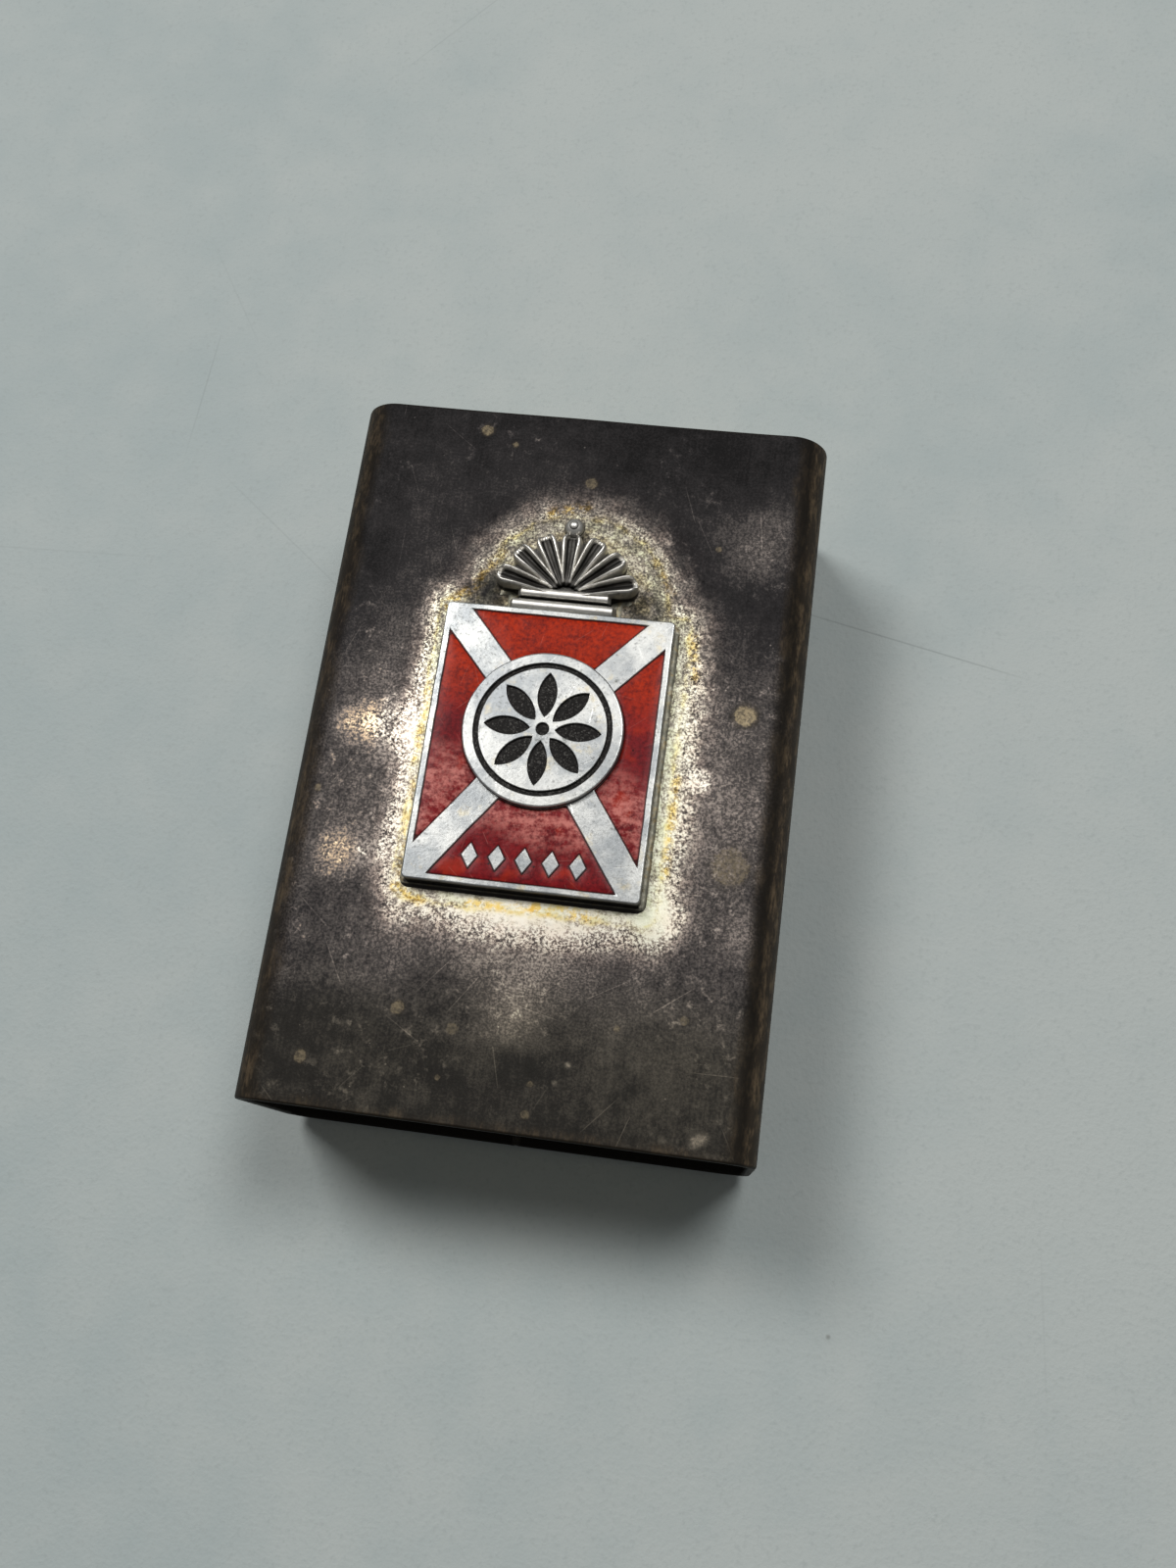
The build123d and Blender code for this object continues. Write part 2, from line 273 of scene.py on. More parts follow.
def plate_finish():
    finish = Finish("tarnished_plate")
    x, y, z = finish.x, finish.y, finish.z
    across, along = abs(x), abs(y)

    # Everything below adds to one value, how light the plate is painted: 0 black, 1 bare silver. Along
    # its length it is a painted reflection: darkest at the far end, a lighter grey band across the middle
    # where an overhead light is mirrored, and dark again at the near end.
    drifted = y + finish.sway(9.0, 0.08, 2.0)
    light = finish.rise(drifted, -22.0, -8.0, 0.18, 0.25) - finish.rise(drifted, 3.0, 15.0, 0.0, 0.2)
    light = light + finish.sway(0.28, 0.16, 3.0, 0.6)
    light = light + finish.sway(0.22, 0.7, 4.0, 0.6)

    # Round the badge and crest the silver has stayed bare, from soldering and from polishing.
    beside_x = finish.most((badge_low.x - x) / 1.7, (x - badge_high.x) / 2.2, 0.0)
    beside_y = finish.most((badge_low.y - y) / 2.5, (y - badge_high.y) / 2.2, 0.0)
    from_badge = finish.length(finish.joined(beside_x, beside_y))
    from_crest = (finish.from_spot(0.5, 12.4) - 6.2) / 2.5
    away = finish.most(finish.least(from_badge, from_crest), 0.0)
    ragged = away + finish.sway(0.5, 0.35, 3.0, 0.6)
    ragged = ragged + finish.sway(0.5, 1.6, 3.0, 0.6)
    bare = finish.fall(ragged, 0.5, 1.9) * finish.rise(y, 4.0, 12.0, 0.5, 0.46)
    lines = finish.joined(away, (x + y) * 0.12)
    streaks = finish.sway(1.0, 3.0, 3.0, 0.6, place=lines) + finish.sway(1.0, 0.9, 5.0, 0.65)
    streaks = streaks + finish.sway(0.8, 12.0, 2.0, 0.6, place=lines)
    bare = bare * (streaks + 0.92)
    light = light + finish.fall(away, 1.0, 5.6) * 0.1 + bare

    # Patches further out are lighter: the first four, left of the badge, are painted reflections of
    # warm lights, and the rest have been rubbed bare by the fingers that hold it. A few have gone
    # darker. Each is given by its place, its radius, how soft it is and how much lighter.
    patches = [
        (-15.0, 0.6, 1.7, 1.2, 0.24), (-12.0, 0.4, 2.0, 1.7, 0.26), (-14.6, -9.8, 1.5, 1.2, 0.24),
        (-12.0, -9.4, 1.6, 1.4, 0.16), (12.2, -1.2, 0.9, 0.6, 0.36), (10.6, -12.4, 1.8, 1.6, 0.3),
        (0.5, -13.8, 5.0, 3.2, 0.2), (15.0, 19.6, 3.2, 3.0, 0.26), (0.9, -20.8, 2.2, 1.8, 0.14),
        (-13.2, 24.6, 2.8, 2.6, 0.08), (16.6, -13.0, 1.6, 1.4, 0.12), (-6.3, 12.4, 1.7, 1.0, -0.3),
        (6.4, 12.2, 1.7, 1.0, -0.3), (0.4, 19.6, 1.6, 1.2, -0.12), (12.0, -24.0, 7.0, 5.0, 0.07),
        (14.5, -4.0, 4.0, 3.0, 0.06), (-14.0, 17.0, 5.0, 4.0, 0.03), (14.9, -27.8, 0.35, 0.4, 0.3),
        (15.5, -27.5, 0.3, 0.4, 0.28), (12.6, -28.0, 0.2, 0.3, 0.22), (5.2, -23.6, 0.16, 0.2, 0.4),
        (4.4, -25.0, 0.14, 0.2, 0.34),
    ]
    for place_x, place_y, radius, soft, lighter in patches:
        patch = finish.fall(finish.from_spot(place_x, place_y), radius - soft, radius + soft)
        light = patch * lighter + light

    # Mottles gather here and there where damp has sat.
    damp = finish.mottle(0.13, 0.42, 0.62, 2.0)
    light = damp * finish.mottle(1.0, 0.53, 0.68, 5.0, 0.7) * 0.17 + light
    light = finish.dots(0.7, 0.1, 0.5) * 0.22 + light
    light = finish.dots(0.4, 0.2, 0.4) * -0.12 + light

    # The tarnish is grained as fine as dust, most where it is half worn through.
    half_worn = finish.rise(light, 0.15, 0.5) * finish.fall(light, 0.75, 1.2)
    flecks = finish.rise(finish.noise(5.5, 3.0, 0.7), 0.38, 0.64, -0.18, 0.18)
    grain = flecks + finish.sway(0.4, 1.9, 4.0, 0.7)
    coarse = half_worn * finish.rise(light, 0.46, 0.66)
    contrast = coarse * finish.rise(away, 0.2, 1.0, 0.3, 1.0) * 1.25 + half_worn * 0.5 + 0.28
    contrast = contrast * finish.rise(drifted, -25.0, -15.0, 0.5, 1.0)
    hairline = finish.sway(0.12, 5.0, 3.0, 0.6, stretch=(1, 0.08, 1))
    light = light + grain * contrast + hairline
    light = light + finish.scratches(0.22, 0.05, 2.2, slant=(1, 0.5, 0)) * 0.15
    finish.tone = finish.ramp(
        light, (0.0, (20, 19, 19)), (0.17, (38, 36, 36)), (0.34, (75, 70, 67)), (0.5, (115, 106, 100)),
        (0.68, (154, 145, 134)), (0.84, (186, 180, 165)), (1.0, (208, 203, 190)))

    # Its colour is greenish right of the badge and above it, and warm cream on the light patches
    # at the left, which is a painted reflection of warm lights.
    wandering = away + finish.sway(0.5, 0.7, 3.0, 0.6)
    stain = finish.ramp(
        wandering, (0.0, (236, 230, 204)), (0.2, (236, 240, 226)), (0.42, (238, 240, 224)),
        (0.56, (240, 230, 182)), (0.7, (250, 246, 240)), (1.0, (255, 248, 246)))
    patchy = finish.rise(finish.noise(0.7, 4.0, 0.65), 0.4, 0.6, 0.25, 1.0)
    finish.tone = finish.tone * finish.paint((255, 255, 255), stain, finish.fall(away, 1.2, 2.2) * patchy)
    finish.tint((0.82, 0.9, 0.81), finish.most(finish.rise(x, 7.0, 9.5), finish.rise(y, 2.0, 8.0)) * bare)
    finish.tint((0.99, 1.0, 0.86), finish.fall(drifted, -24.0, -15.0))
    # Warm cream on the light patches left of the badge: a painted reflection of warm lights.
    finish.tint((1.16, 0.98, 0.76), finish.fall(x, -13.9, -12.6) * finish.rise(light, 0.4, 0.65))

    # Flux has left ochre streaks along the badge's edges and over the crest. Each is given by
    # its two ends, half its width and its strength.
    strokes = [
        ((-9.6, 4.3), (-9.8, -1.9), 0.28, 0.8), ((-9.5, -3.6), (-9.6, -11.0), 0.3, 0.72),
        ((-9.6, -12.0), (-7.6, -12.9), 0.4, 1.0), ((-4.0, -12.7), (0.8, -12.6), 0.35, 1.0),
        ((1.2, -12.4), (5.6, -12.6), 0.5, 1.0), ((10.5, -1.2), (10.5, -8.8), 0.3, 0.96),
        ((10.4, 10.4), (10.9, 7.0), 0.4, 0.8), ((-9.4, 11.2), (-7.0, 13.6), 0.45, 0.96),
        ((-7.0, 14.3), (-5.6, 16.2), 0.4, 0.8), ((-2.2, 20.1), (0.6, 20.9), 0.45, 1.0),
        ((6.6, 16.6), (8.4, 13.9), 0.3, 0.56),
    ]
    broken = finish.mottle(1.8, 0.4, 0.58, 4.0, 0.7)
    for start, end, stroke_half, strength in strokes:
        finish.tint((0.98, 0.76, 0.3), finish.stroke(start, end, stroke_half, 0.3) * broken * strength)

    # Old drips have left round tan spots, each in a darker ring. Each is given by its place, its
    # radius and its strength.
    spots = [
        (-8.63, 27.21, 0.55, 0.55), (-6.06, 26.07, 0.3, 0.5), (15.14, 4.39, 0.95, 0.85),
        (15.28, -7.61, 1.6, 0.3), (-14.45, -25.47, 0.5, 0.4), (-7.86, -21.03, 0.55, 0.45),
        (-3.63, -22.09, 0.5, 0.25), (2.64, -27.49, 0.38, 0.3), (0.64, 23.09, 0.55, 0.35),
        (-17.0, -5.0, 0.35, 0.4), (11.6, 18.2, 0.28, 0.35), (2.7, -25.3, 0.3, 0.35),
        (-4.1, -25.7, 0.25, 0.3), (8.4, -20.6, 0.3, 0.35), (13.2, -19.4, 0.35, 0.3),
    ]
    edge = finish.sway(0.5, 1.1, 2.0) + finish.sway(0.7, 4.0, 3.0, 0.7)
    dirt = finish.rise(finish.noise(4.0, 4.0, 0.75), 0.36, 0.62, 0.2, 1.0)
    for place_x, place_y, radius, strength in spots:
        way = edge * radius + finish.from_spot(place_x, place_y)
        finish.coat((48, 43, 36), finish.fall(way, 1.05 * radius, 1.35 * radius) * 0.6 * strength)
        finish.coat((140, 126, 100), finish.fall(way, 0.75 * radius, 0.98 * radius) * strength * dirt)

    # Handling has rubbed the bends and the open ends down to brown and bare brass.
    on_bend = finish.rise(across + finish.sway(1.6, 0.3, 3.0), 16.8, 18.6)
    on_bend = finish.most(on_bend, finish.fall(z, 1.6, 2.4))
    on_end = finish.rise(along + finish.sway(1.2, 0.5, 3.0), half_length - 1.0, half_length)
    rubbed = finish.most(on_bend, on_end * finish.fall(y, -5.0, 5.0) * 0.45)
    worn = finish.noise(1.1, 4.0, 0.7, stretch=(1, 0.35, 1))
    worn = worn + finish.sway(0.6, 4.0, 3.0, 0.7, stretch=(1, 0.3, 1))
    brown = finish.paint((44, 38, 31), (92, 78, 60), finish.rise(worn, 0.42, 0.74))
    brown = finish.paint(brown, (132, 116, 90), finish.rise(worn, 0.76, 0.86))
    # The brown is painted darker towards the left bend and lighter towards the right, a painted highlight on
    # the right bend.
    finish.coat(brown * finish.rise(x, -18.0, 18.0, 0.85, 1.4), rubbed * 0.85)
    # The cut edges at both open ends are painted dark, a painted shade on the end faces.
    rim_place = along + finish.sway(0.15, 1.2, 3.0)
    finish.coat((34, 29, 23), finish.rise(rim_place, half_length - 0.25, half_length - 0.05) * 0.85)
    # A dark band just inside the right bend and the outermost line of the left bend are painted shade.
    right_bend_shade = finish.rise(x, 17.0, 18.0) * finish.fall(x, 18.2, 18.8)
    left_bend_shade = finish.fall(x, -19.3, -18.7) * 0.7
    finish.coat((26, 24, 21), finish.most(right_bend_shade, left_bend_shade) * 0.75)

    # The inside is painted near black: tarnish that was never cleaned off, and painted shade inside the tube.
    off_x = finish.most(across - (half_width - bend_radius), 0.0)
    off_z = finish.most(abs(z - sleeve_height / 2) - (sleeve_height / 2 - bend_radius), 0.0)
    off = finish.length(finish.joined(off_x, off_z))
    finish.coat((26, 24, 21), finish.fall(off, bend_radius - 0.55, bend_radius - 0.4))
    metal = finish.rise(light, 0.2, 0.8, 0.45, 0.65) - rubbed * 0.3
    dull = finish.rise(light, 0.2, 0.9, 0.5, 0.36)
    normal = finish.relief(grain + hairline * 2.0, 0.008)
    return finish.wear(Metallic=metal, Roughness=dull, Specular_IOR_Level=0.05, Normal=normal)


def linked(name, data):
    made = bpy.data.objects.new(name, data)
    bpy.context.scene.collection.objects.link(made)
    return made


def clean_mesh(name, points, faces, marks, smooth_below, crisp_tops=False):
    """A mesh from points in millimetres: no doubled points, and smooth but for its sharp edges."""
    mesh = bpy.data.meshes.new(name)
    mesh.from_pydata([Vector(point) * mm for point in points], [], faces)
    for mark, values in marks.items():
        mesh.attributes.new(mark, "FLOAT", "POINT").data.foreach_set("value", values)
    work = bmesh.new()
    work.from_mesh(mesh)
    bmesh.ops.remove_doubles(work, verts=work.verts, dist=0.002 * mm)
    bmesh.ops.recalc_face_normals(work, faces=work.faces)
    for face in work.faces:
        face.smooth = True
    for edge in work.edges:
        turn = math.degrees(edge.calc_face_angle(0.0))
        tops = [abs(face.normal.z) > 0.99999 for face in edge.link_faces]
        edge.smooth = turn < smooth_below and not (crisp_tops and any(tops) and not all(tops))
    work.to_mesh(mesh)
    work.free()
    return mesh


def settle(piece, modifier, body, node):
    """Makes what a modifier does the piece's own, then puts the piece on its body."""
    piece.update_tag()
    settled = bpy.data.meshes.new_from_object(piece.evaluated_get(bpy.context.evaluated_depsgraph_get()))
    piece.modifiers.remove(modifier)
    piece.data = settled
    settled.name = piece.name
    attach(piece, body)
    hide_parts(node)


def make_piece(name, points, faces, body, slot, material, node, crisp_tops=False, **marks):
    """A piece from points in millimetres, shaded by its large faces, which stay flat."""
    mesh = clean_mesh(name, points, faces, marks, 40.0, crisp_tops)
    mesh.materials.append(material)
    piece = linked(name, mesh)
    weigh = piece.modifiers.new("weigh", "WEIGHTED_NORMAL")
    weigh.keep_sharp = True
    settle(piece, weigh, body, node)


def steps(start, end, spacing):
    """Evenly spaced places from start to end, about so far apart, both ends included."""
    count = max(1, round(abs(end - start) / spacing))
    return [start + (end - start) * number / count for number in range(count + 1)]


def arc(start, end, spacing, radius=1.0):
    """Points on a circle round nought, between two angles in degrees."""
    turns = [math.radians(angle) for angle in steps(start, end, spacing)]
    return [(radius * math.cos(turn), radius * math.sin(turn)) for turn in turns]


def round_corners(flat_a, flat_b):
    """The corners of a rounded oblong, each with its middle and the directions out from it."""
    signs = enumerate(((1, 1), (-1, 1), (-1, -1), (1, -1)))
    return [((a * flat_a, b * flat_b), arc(90 * turn, 90 * turn + 90, 15)) for turn, (a, b) in signs]


def skin(rings, caps=(0, -1)):
    """A surface from each ring of points to the next, closed flat at the rings named as caps."""
    size = len(rings[0])
    points = [point for ring in rings for point in ring]
    whole = range(len(points))
    faces = []
    for start in whole[:-size:size]:
        for number in range(size):
            a, b = start + number, start + (number + 1) % size
            faces.append((a, b, b + size, a + size))
    faces += [tuple(whole[size * cap:][:size]) for cap in caps]
    return points, faces


def sleeve_section():
    """The sheet's outer line from one lip of the seam to the other: place, outward direction."""
    flat = half_width - bend_radius
    path = [((x, 0.0), (0.0, -1.0)) for x in steps(half_seam, flat, 1.5)]
    for turn, centre_z in ((-90, bend_radius), (0, sleeve_height - bend_radius)):
        for out in arc(turn, turn + 90, 7.5):
            path.append(((flat + bend_radius * out[0], centre_z + bend_radius * out[1]), out))
    path += [((x, sleeve_height), (0.0, 1.0)) for x in steps(flat, 0.0, 0.8)]
    kept = [path[0]] + [b for a, b in zip(path, path[1:]) if math.dist(a[0], b[0]) > 0.001]
    return kept + [((-p[0], p[1]), (-n[0], n[1])) for p, n in reversed(kept[:-1])]


def bulge(x, y, z):
    """How far an old thin top stands off its true flat, between the badge and the bends."""
    if z < sleeve_height - 1.0:
        return 0.0
    beside_x = abs(x) - badge_half.x - 0.5
    beside_y = abs(y - badge_middle.y) - badge_half.y - 0.55
    from_bend = half_width - 2.0 - abs(x)
    free = min(1.0, max(beside_x, beside_y, 0.0) / 4.0) * max(0.0, min(1.0, from_bend / 3.0))
    return free * (top_wave * noise.noise(Vector((x / 11.0, y / 15.0, 3.7))) - top_sink)


def window_loop(side, spread, depth):
    """A loop round a striking window, wider than it by the spread and so deep in the sheet."""
    flat_y = half_length - window_end_land - window_radius
    flat_z = sleeve_height / 2 - window_side_land - window_radius
    x = side * (half_width - depth)
    reach = window_radius + spread
    loop = []
    for (y, z), outs in round_corners(flat_y, flat_z):
        loop += [(x, y + reach * out_y, z + sleeve_height / 2 + reach * out_z) for out_y, out_z in outs]
    return loop


def sleeve_mesh():
    # The sheet's edge is round: how far in from the end, and how deep below the outer face
    turns = [(rim_round - rise, rim_round - run) for run, rise in arc(30, 90, 30, rim_round)]
    turns += [(inset, sheet - depth) for inset, depth in reversed(turns)]
    rows = steps(-half_length + rim_round, half_length - rim_round, 1.0)
    ring = [(y, 0.0) for y in rows] + [(half_length - inset, depth) for inset, depth in turns]
    ring += [(y, sheet) for y in reversed(rows)]
    ring += [(inset - half_length, depth) for inset, depth in reversed(turns)]
    section = sleeve_section()
    rings = []
    for (x, z), (out_x, out_z) in section:
        offs = [(y, bulge(x, y, z) - depth) for y, depth in ring]
        rings.append([(x + out_x * off, y, z + out_z * off) for y, off in offs])
    points, faces = skin(rings)

    # The two walls are one column each. Their faces make way for the window and its round edge
    size, run = len(ring), len(rows) - 1
    sides = ((0, 0.0), (len(rows) + len(turns), sheet))
    climbs = [b[0][1] - a[0][1] for a, b in zip(section, section[1:])]
    walls = {column: climb for column, climb in enumerate(climbs) if abs(climb) > bend_radius}
    wall_rows = [row for first, _ in sides for row in range(first, first + run)]
    kept = [number // size not in walls or number % size not in wall_rows for number in range(len(faces))]
    faces = [face for face, stays in zip(faces, kept) if stays]
    for column, climb in walls.items():
        side = math.copysign(1, climb)
        for first, depth in sides:
            near = [column * size + row for row in range(first, first + run + 1)]
            border = near + [index + size for index in reversed(near)]
            hole = window_loop(side, rim_round, depth)
            numbers = border + list(range(len(points), len(points) + len(hole)))
            points += hole
            lines = [[Vector((*points[i][1:], 0)) for i in part] for part in (border, numbers[len(border):])]
            faces += [tuple(numbers[i] for i in corners) for corners in geometry.tessellate_polygon(lines)]
        profile = [(rim_round, 0.0), *turns, (rim_round, sheet)]
        edge = skin([window_loop(side, spread, depth) for spread, depth in profile], caps=())
        faces += [tuple(len(points) + i for i in face) for face in edge[1]]
        points += edge[0]
    return points, faces


make_piece("sleeve", *sleeve_mesh(), "holder", "tarnished_plate", plate_finish(), "sleeve_shell")

# The seam: the sheet's two edges meet under the middle and are joined by a run of soft solder,
# filed flush outside and left as a low uneven bead inside.
seam_spread = 0.35
sharp_end = 0.04
filed_depth = 0.004
bead_height = 0.12


def solder_finish():
    finish = Finish("soft_solder")
    finish.ground((118, 116, 102), (156, 152, 136), finish.mottle(1.2, 0.4, 0.65, 3.0))
    finish.coat((150, 126, 74), finish.mottle(1.6, 0.5, 0.66, 3.0) * 0.5)
    pits = finish.mottle(4.0, 0.56, 0.68, 3.0, 0.6)
    finish.coat((62, 58, 48), pits * 0.7)
    # Painted shade: dark up the fillet against the badge and crest, and along the badge's near side.
    foot = finish.rise(finish.z, sleeve_height + 0.13, sleeve_height + 0.19)
    foot = finish.most(foot, finish.fall(finish.y, badge_low.y - 0.2, badge_low.y))
    finish.coat((34, 31, 27), foot)
    # Painted shade: the bead inside the sleeve is painted dark.
    inside = finish.fall(finish.z, sleeve_height - 1.0, sleeve_height - 0.5)
    finish.coat((34, 31, 27), inside)
    normal = finish.relief(finish.noise(2.2, 3.0), 0.05)
    return finish.wear(Metallic=0.6, Roughness=0.5, Normal=normal)


def seam_mesh():
    rings = []
    for y in steps(sharp_end - half_length, half_length - sharp_end, 0.8):
        swell = 1 + 0.4 * noise.noise(Vector((0.0, y / 2.3, 1.0)))
        foot, crown = seam_spread * swell, bead_height * swell
        shoulder = 0.6 * seam_spread
        section = [(-half_seam, filed_depth), (half_seam, filed_depth), (half_seam, sheet), (foot, sheet)]
        section += [(shoulder, sheet + 0.7 * crown), (0.0, sheet + crown), (-shoulder, sheet + 0.7 * crown)]
        section += [(-foot, sheet), (-half_seam, sheet)]
        rings.append([(x, y, z) for x, z in section])
    return skin(rings)


solder = solder_finish()
make_piece("seam_bead", *seam_mesh(), "holder", "soft_solder", solder, "seam_solder")

# The solder under the badge and crest: run in hot from the edges, it has crept a little past
# them, unevenly, and stands up against their sides as a narrow fillet, painted dark where it
# meets them and along the badge's near side, as painted shade.
solder_high = box_mm("badge_solder")[1]
creep = 0.05
solder_edge = 0.2
fillet_height = 0.1
fillet_reach = 0.14
solder_spacing = 0.22


def merged_copy(node):
    """A node's own mesh in millimetres, with its loose triangles joined into clean faces."""
    work = bmesh.new()
    work.from_mesh(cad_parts[node].data)
    bmesh.ops.scale(work, vec=(1 / mm,) * 3, verts=work.verts)
    bmesh.ops.remove_doubles(work, verts=work.verts, dist=0.001)
    bmesh.ops.dissolve_limit(work, angle_limit=math.radians(0.1), verts=work.verts, edges=work.edges)
    bmesh.ops.recalc_face_normals(work, faces=work.faces)
    return work


def outlines_at(node, level):
    """The closed lines round the flat faces that a node has at one height."""
    work = merged_copy(node)
    flat = {f for f in work.faces if all(abs(v.co.z - level) < 0.003 for v in f.verts)}
    following = {}
    for face in flat:
        for corner in face.loops:
            if not (set(corner.edge.link_faces) - {face}) & flat:
                following[corner.vert.index] = corner.link_loop_next.vert.index
    work.verts.ensure_lookup_table()
    lines = []
    while following:
        start, after = following.popitem()
        line = [start]
        while after != start:
            line.append(after)
            after = following.pop(after)
        lines.append([(work.verts[i].co.x, work.verts[i].co.y) for i in line])
    work.free()
    return lines


def resampled(line, spacing):
    points = []
    for a, b in zip(line, line[1:] + line[:1]):
        count = math.ceil(math.dist(a, b) / spacing)
        points += [(a[0] + (b[0] - a[0]) * i / count, a[1] + (b[1] - a[1]) * i / count) for i in range(count)]
    return points


def straight_parts(lines):
    """The start and end of each straight part of closed lines."""
    for line in lines:
        yield from zip(np.array(line), np.roll(line, -1, axis=0))


def inside_lines(points, lines):
    """Which points lie inside an odd number of the lines."""
    x, y = points.T
    held = np.zeros(len(points), bool)
    for (ax, ay), (bx, by) in straight_parts(lines):
        if ay != by:
            held ^= ((ay > y) != (by > y)) & (x < ax + (y - ay) * (bx - ax) / (by - ay))
    return held


def distance_to_lines(points, lines):
    nearest = np.full(len(points), np.inf)
    for start, end in straight_parts(lines):
        run = end - start
        share = np.clip((points - start) @ run / (run @ run), 0, 1)
        nearest = np.minimum(nearest, np.linalg.norm(points - start - share[:, None] * run, axis=1))
    return nearest


def plateau(lines, spacing, height, bottom):
    """A flat-bottomed piece with upright sides, whose top is a fine net at a given height."""
    lines = [resampled(line, spacing) for line in lines]
    border = np.array([point for line in lines for point in line])
    low, high = border.min(0), border.max(0)
    net = np.array([(x, y) for x in np.arange(low[0], high[0], spacing)
                    for y in np.arange(low[1], high[1], spacing)])
    net = net[inside_lines(net, lines) & (distance_to_lines(net, lines) > 0.45 * spacing)]
    edges, start = [], 0
    for line in lines:
        edges += [(start + i, start + (i + 1) % len(line)) for i in range(len(line))]
        start += len(line)
    corners = [Vector(point) for point in np.vstack([border, net])]
    flat, _, triangles, *_ = geometry.delaunay_2d_cdt(corners, edges, [], 0, 1e-6)
    flat = np.array([tuple(point) for point in flat])
    middles = np.array([flat[list(t)].mean(0) for t in triangles])
    triangles = [tuple(t) for t, inside in zip(triangles, inside_lines(middles, lines)) if inside]
    count = len(flat)
    points = [(x, y, z) for (x, y), z in zip(flat, height(flat))] + [(x, y, bottom) for x, y in flat]
    sides = {side for t in triangles for side in zip(t, t[1:] + t[:1])}
    faces = triangles + [tuple(count + i for i in reversed(t)) for t in triangles]
    faces += [(a, b, count + b, count + a) for a, b in sides if (b, a) not in sides]
    return points, faces, np.tile(distance_to_lines(flat, lines), 2)


def solder_mesh():
    wandering = []
    for line in outlines_at("badge_solder", solder_high.z):
        points = np.array(resampled(line, 0.3))
        ahead = np.roll(points, -1, axis=0) - np.roll(points, 1, axis=0)
        sideways = np.stack([ahead[:, 1], -ahead[:, 0]], 1) / np.linalg.norm(ahead, axis=1)[:, None]
        reach = np.array([[creep * noise.noise(Vector((x / 1.3, y / 1.3, 9.0)))] for x, y in points])
        wandering.append([tuple(p) for p in points + sideways * reach])

    def height(flat):
        edge = np.clip(distance_to_lines(flat, wandering) / solder_edge, 0, 1)
        beside = np.abs(flat - np.array(badge_middle.xy)) - np.array(badge_half.xy)
        climb = np.clip(1 - np.abs(beside.max(1)) / fillet_reach, 0, 1) ** 2
        thick = 0.95 * (solder_high.z - sleeve_height)
        return sleeve_height + 0.01 + thick * np.sqrt(edge) + fillet_height * climb

    return plateau(wandering, solder_spacing, height, sleeve_height - 0.02)[:2]


make_piece("badge_bed", *solder_mesh(), "holder", "soft_solder", solder, "badge_solder")

# The badge: a plate of silver with a raised rim and crossed bands, sawn and filed by hand, and
# soldered flat to the sleeve. Its cells were cut down to take the enamel.
edge_break = 0.07
hand_stray = 0.035
outer_round = 0.2
cell_shadow = 0.5
band_shadow = 0.3


def silver_finish(name, shadow_low, shadow_high):
    """Worn silver, black below a given height: tarnish in cut hollows, painted shade down the sides."""
    finish = Finish(name)
    fine = finish.noise(3.6, 3.0, 0.6) + finish.sway(0.4, 0.9, 3.0, 0.6)
    # The broad light and dark clouds are partly uneven wear and partly painted soft reflections.
    broad = finish.noise(0.22, 3.0) + finish.sway(0.35, 1.1, 3.0)
    finish.ground((140, 143, 144), (186, 186, 182), finish.rise(broad, 0.34, 0.66))
    finish.coat((84, 84, 84), finish.rise(fine, 0.52, 0.75) * 0.6)
    warm = finish.mottle(0.5, 0.56, 0.7, 4.0, 0.65)
    finish.coat((184, 170, 134), warm * 0.5)
    smudge = finish.mottle(0.42, 0.6, 0.7, 4.0, 0.6) * finish.rise(fine, 0.4, 0.6)
    finish.coat((62, 64, 60), smudge * 0.8)
    scratch = finish.scratches(0.55, 0.045, 1.1)
    finish.coat((206, 204, 196), scratch * 0.35)
    finish.coat((46, 44, 42), finish.dots(0.9, 0.07, 0.5))
    # Below the given height the silver is painted black: tarnish in cuts, and painted shade on the sides.
    dark = finish.fall(fine * 0.04 + finish.z, shadow_low, shadow_high)
    speck = finish.mottle(8.0, 0.52, 0.72, 3.0, 0.6)
    finish.coat(finish.paint((20, 19, 18), (96, 94, 90), speck * 0.45), dark)
    rough = finish.rise(fine, 0.35, 0.8, 0.28, 0.46)
    normal = finish.relief(fine + scratch * -0.6, 0.008)
    return finish.wear(Metallic=0.7, Roughness=rough, Specular_IOR_Level=0.1, Normal=normal)


def handmade(x, y):
    """Where a place on a drawn line comes to lie when the line is cut by hand."""
    stray_x, stray_y = (hand_stray * noise.noise(Vector((x / 1.7, y / 1.7, level))) for level in (0.5, 6.5))
    return x + stray_x, y + stray_y


def filed(work, break_width, stray=handmade, longest=0.6):
    """A shape with its edges strayed and broken as by a file, as points and faces."""
    for edge in list(work.edges):
        cuts = math.ceil(edge.calc_length() / longest) - 1
        if cuts > 0 and abs(edge.verts[0].co.z - edge.verts[1].co.z) < 0.01:
            bmesh.ops.subdivide_edges(work, edges=[edge], cuts=cuts)
    for vertex in work.verts:
        vertex.co.x, vertex.co.y = stray(vertex.co.x, vertex.co.y)
    corners = [e for e in work.edges if e.is_manifold and e.calc_face_angle() > math.radians(40)]
    bmesh.ops.bevel(work, geom=corners, offset=break_width, segments=3, profile=0.5, affect="EDGES")
    bmesh.ops.triangulate(work, faces=[f for f in work.faces if len(f.verts) > 4])
    work.verts.index_update()
    points = [tuple(v.co) for v in work.verts]
    faces = [tuple(v.index for v in f.verts) for f in work.faces]
    work.free()
    return points, faces


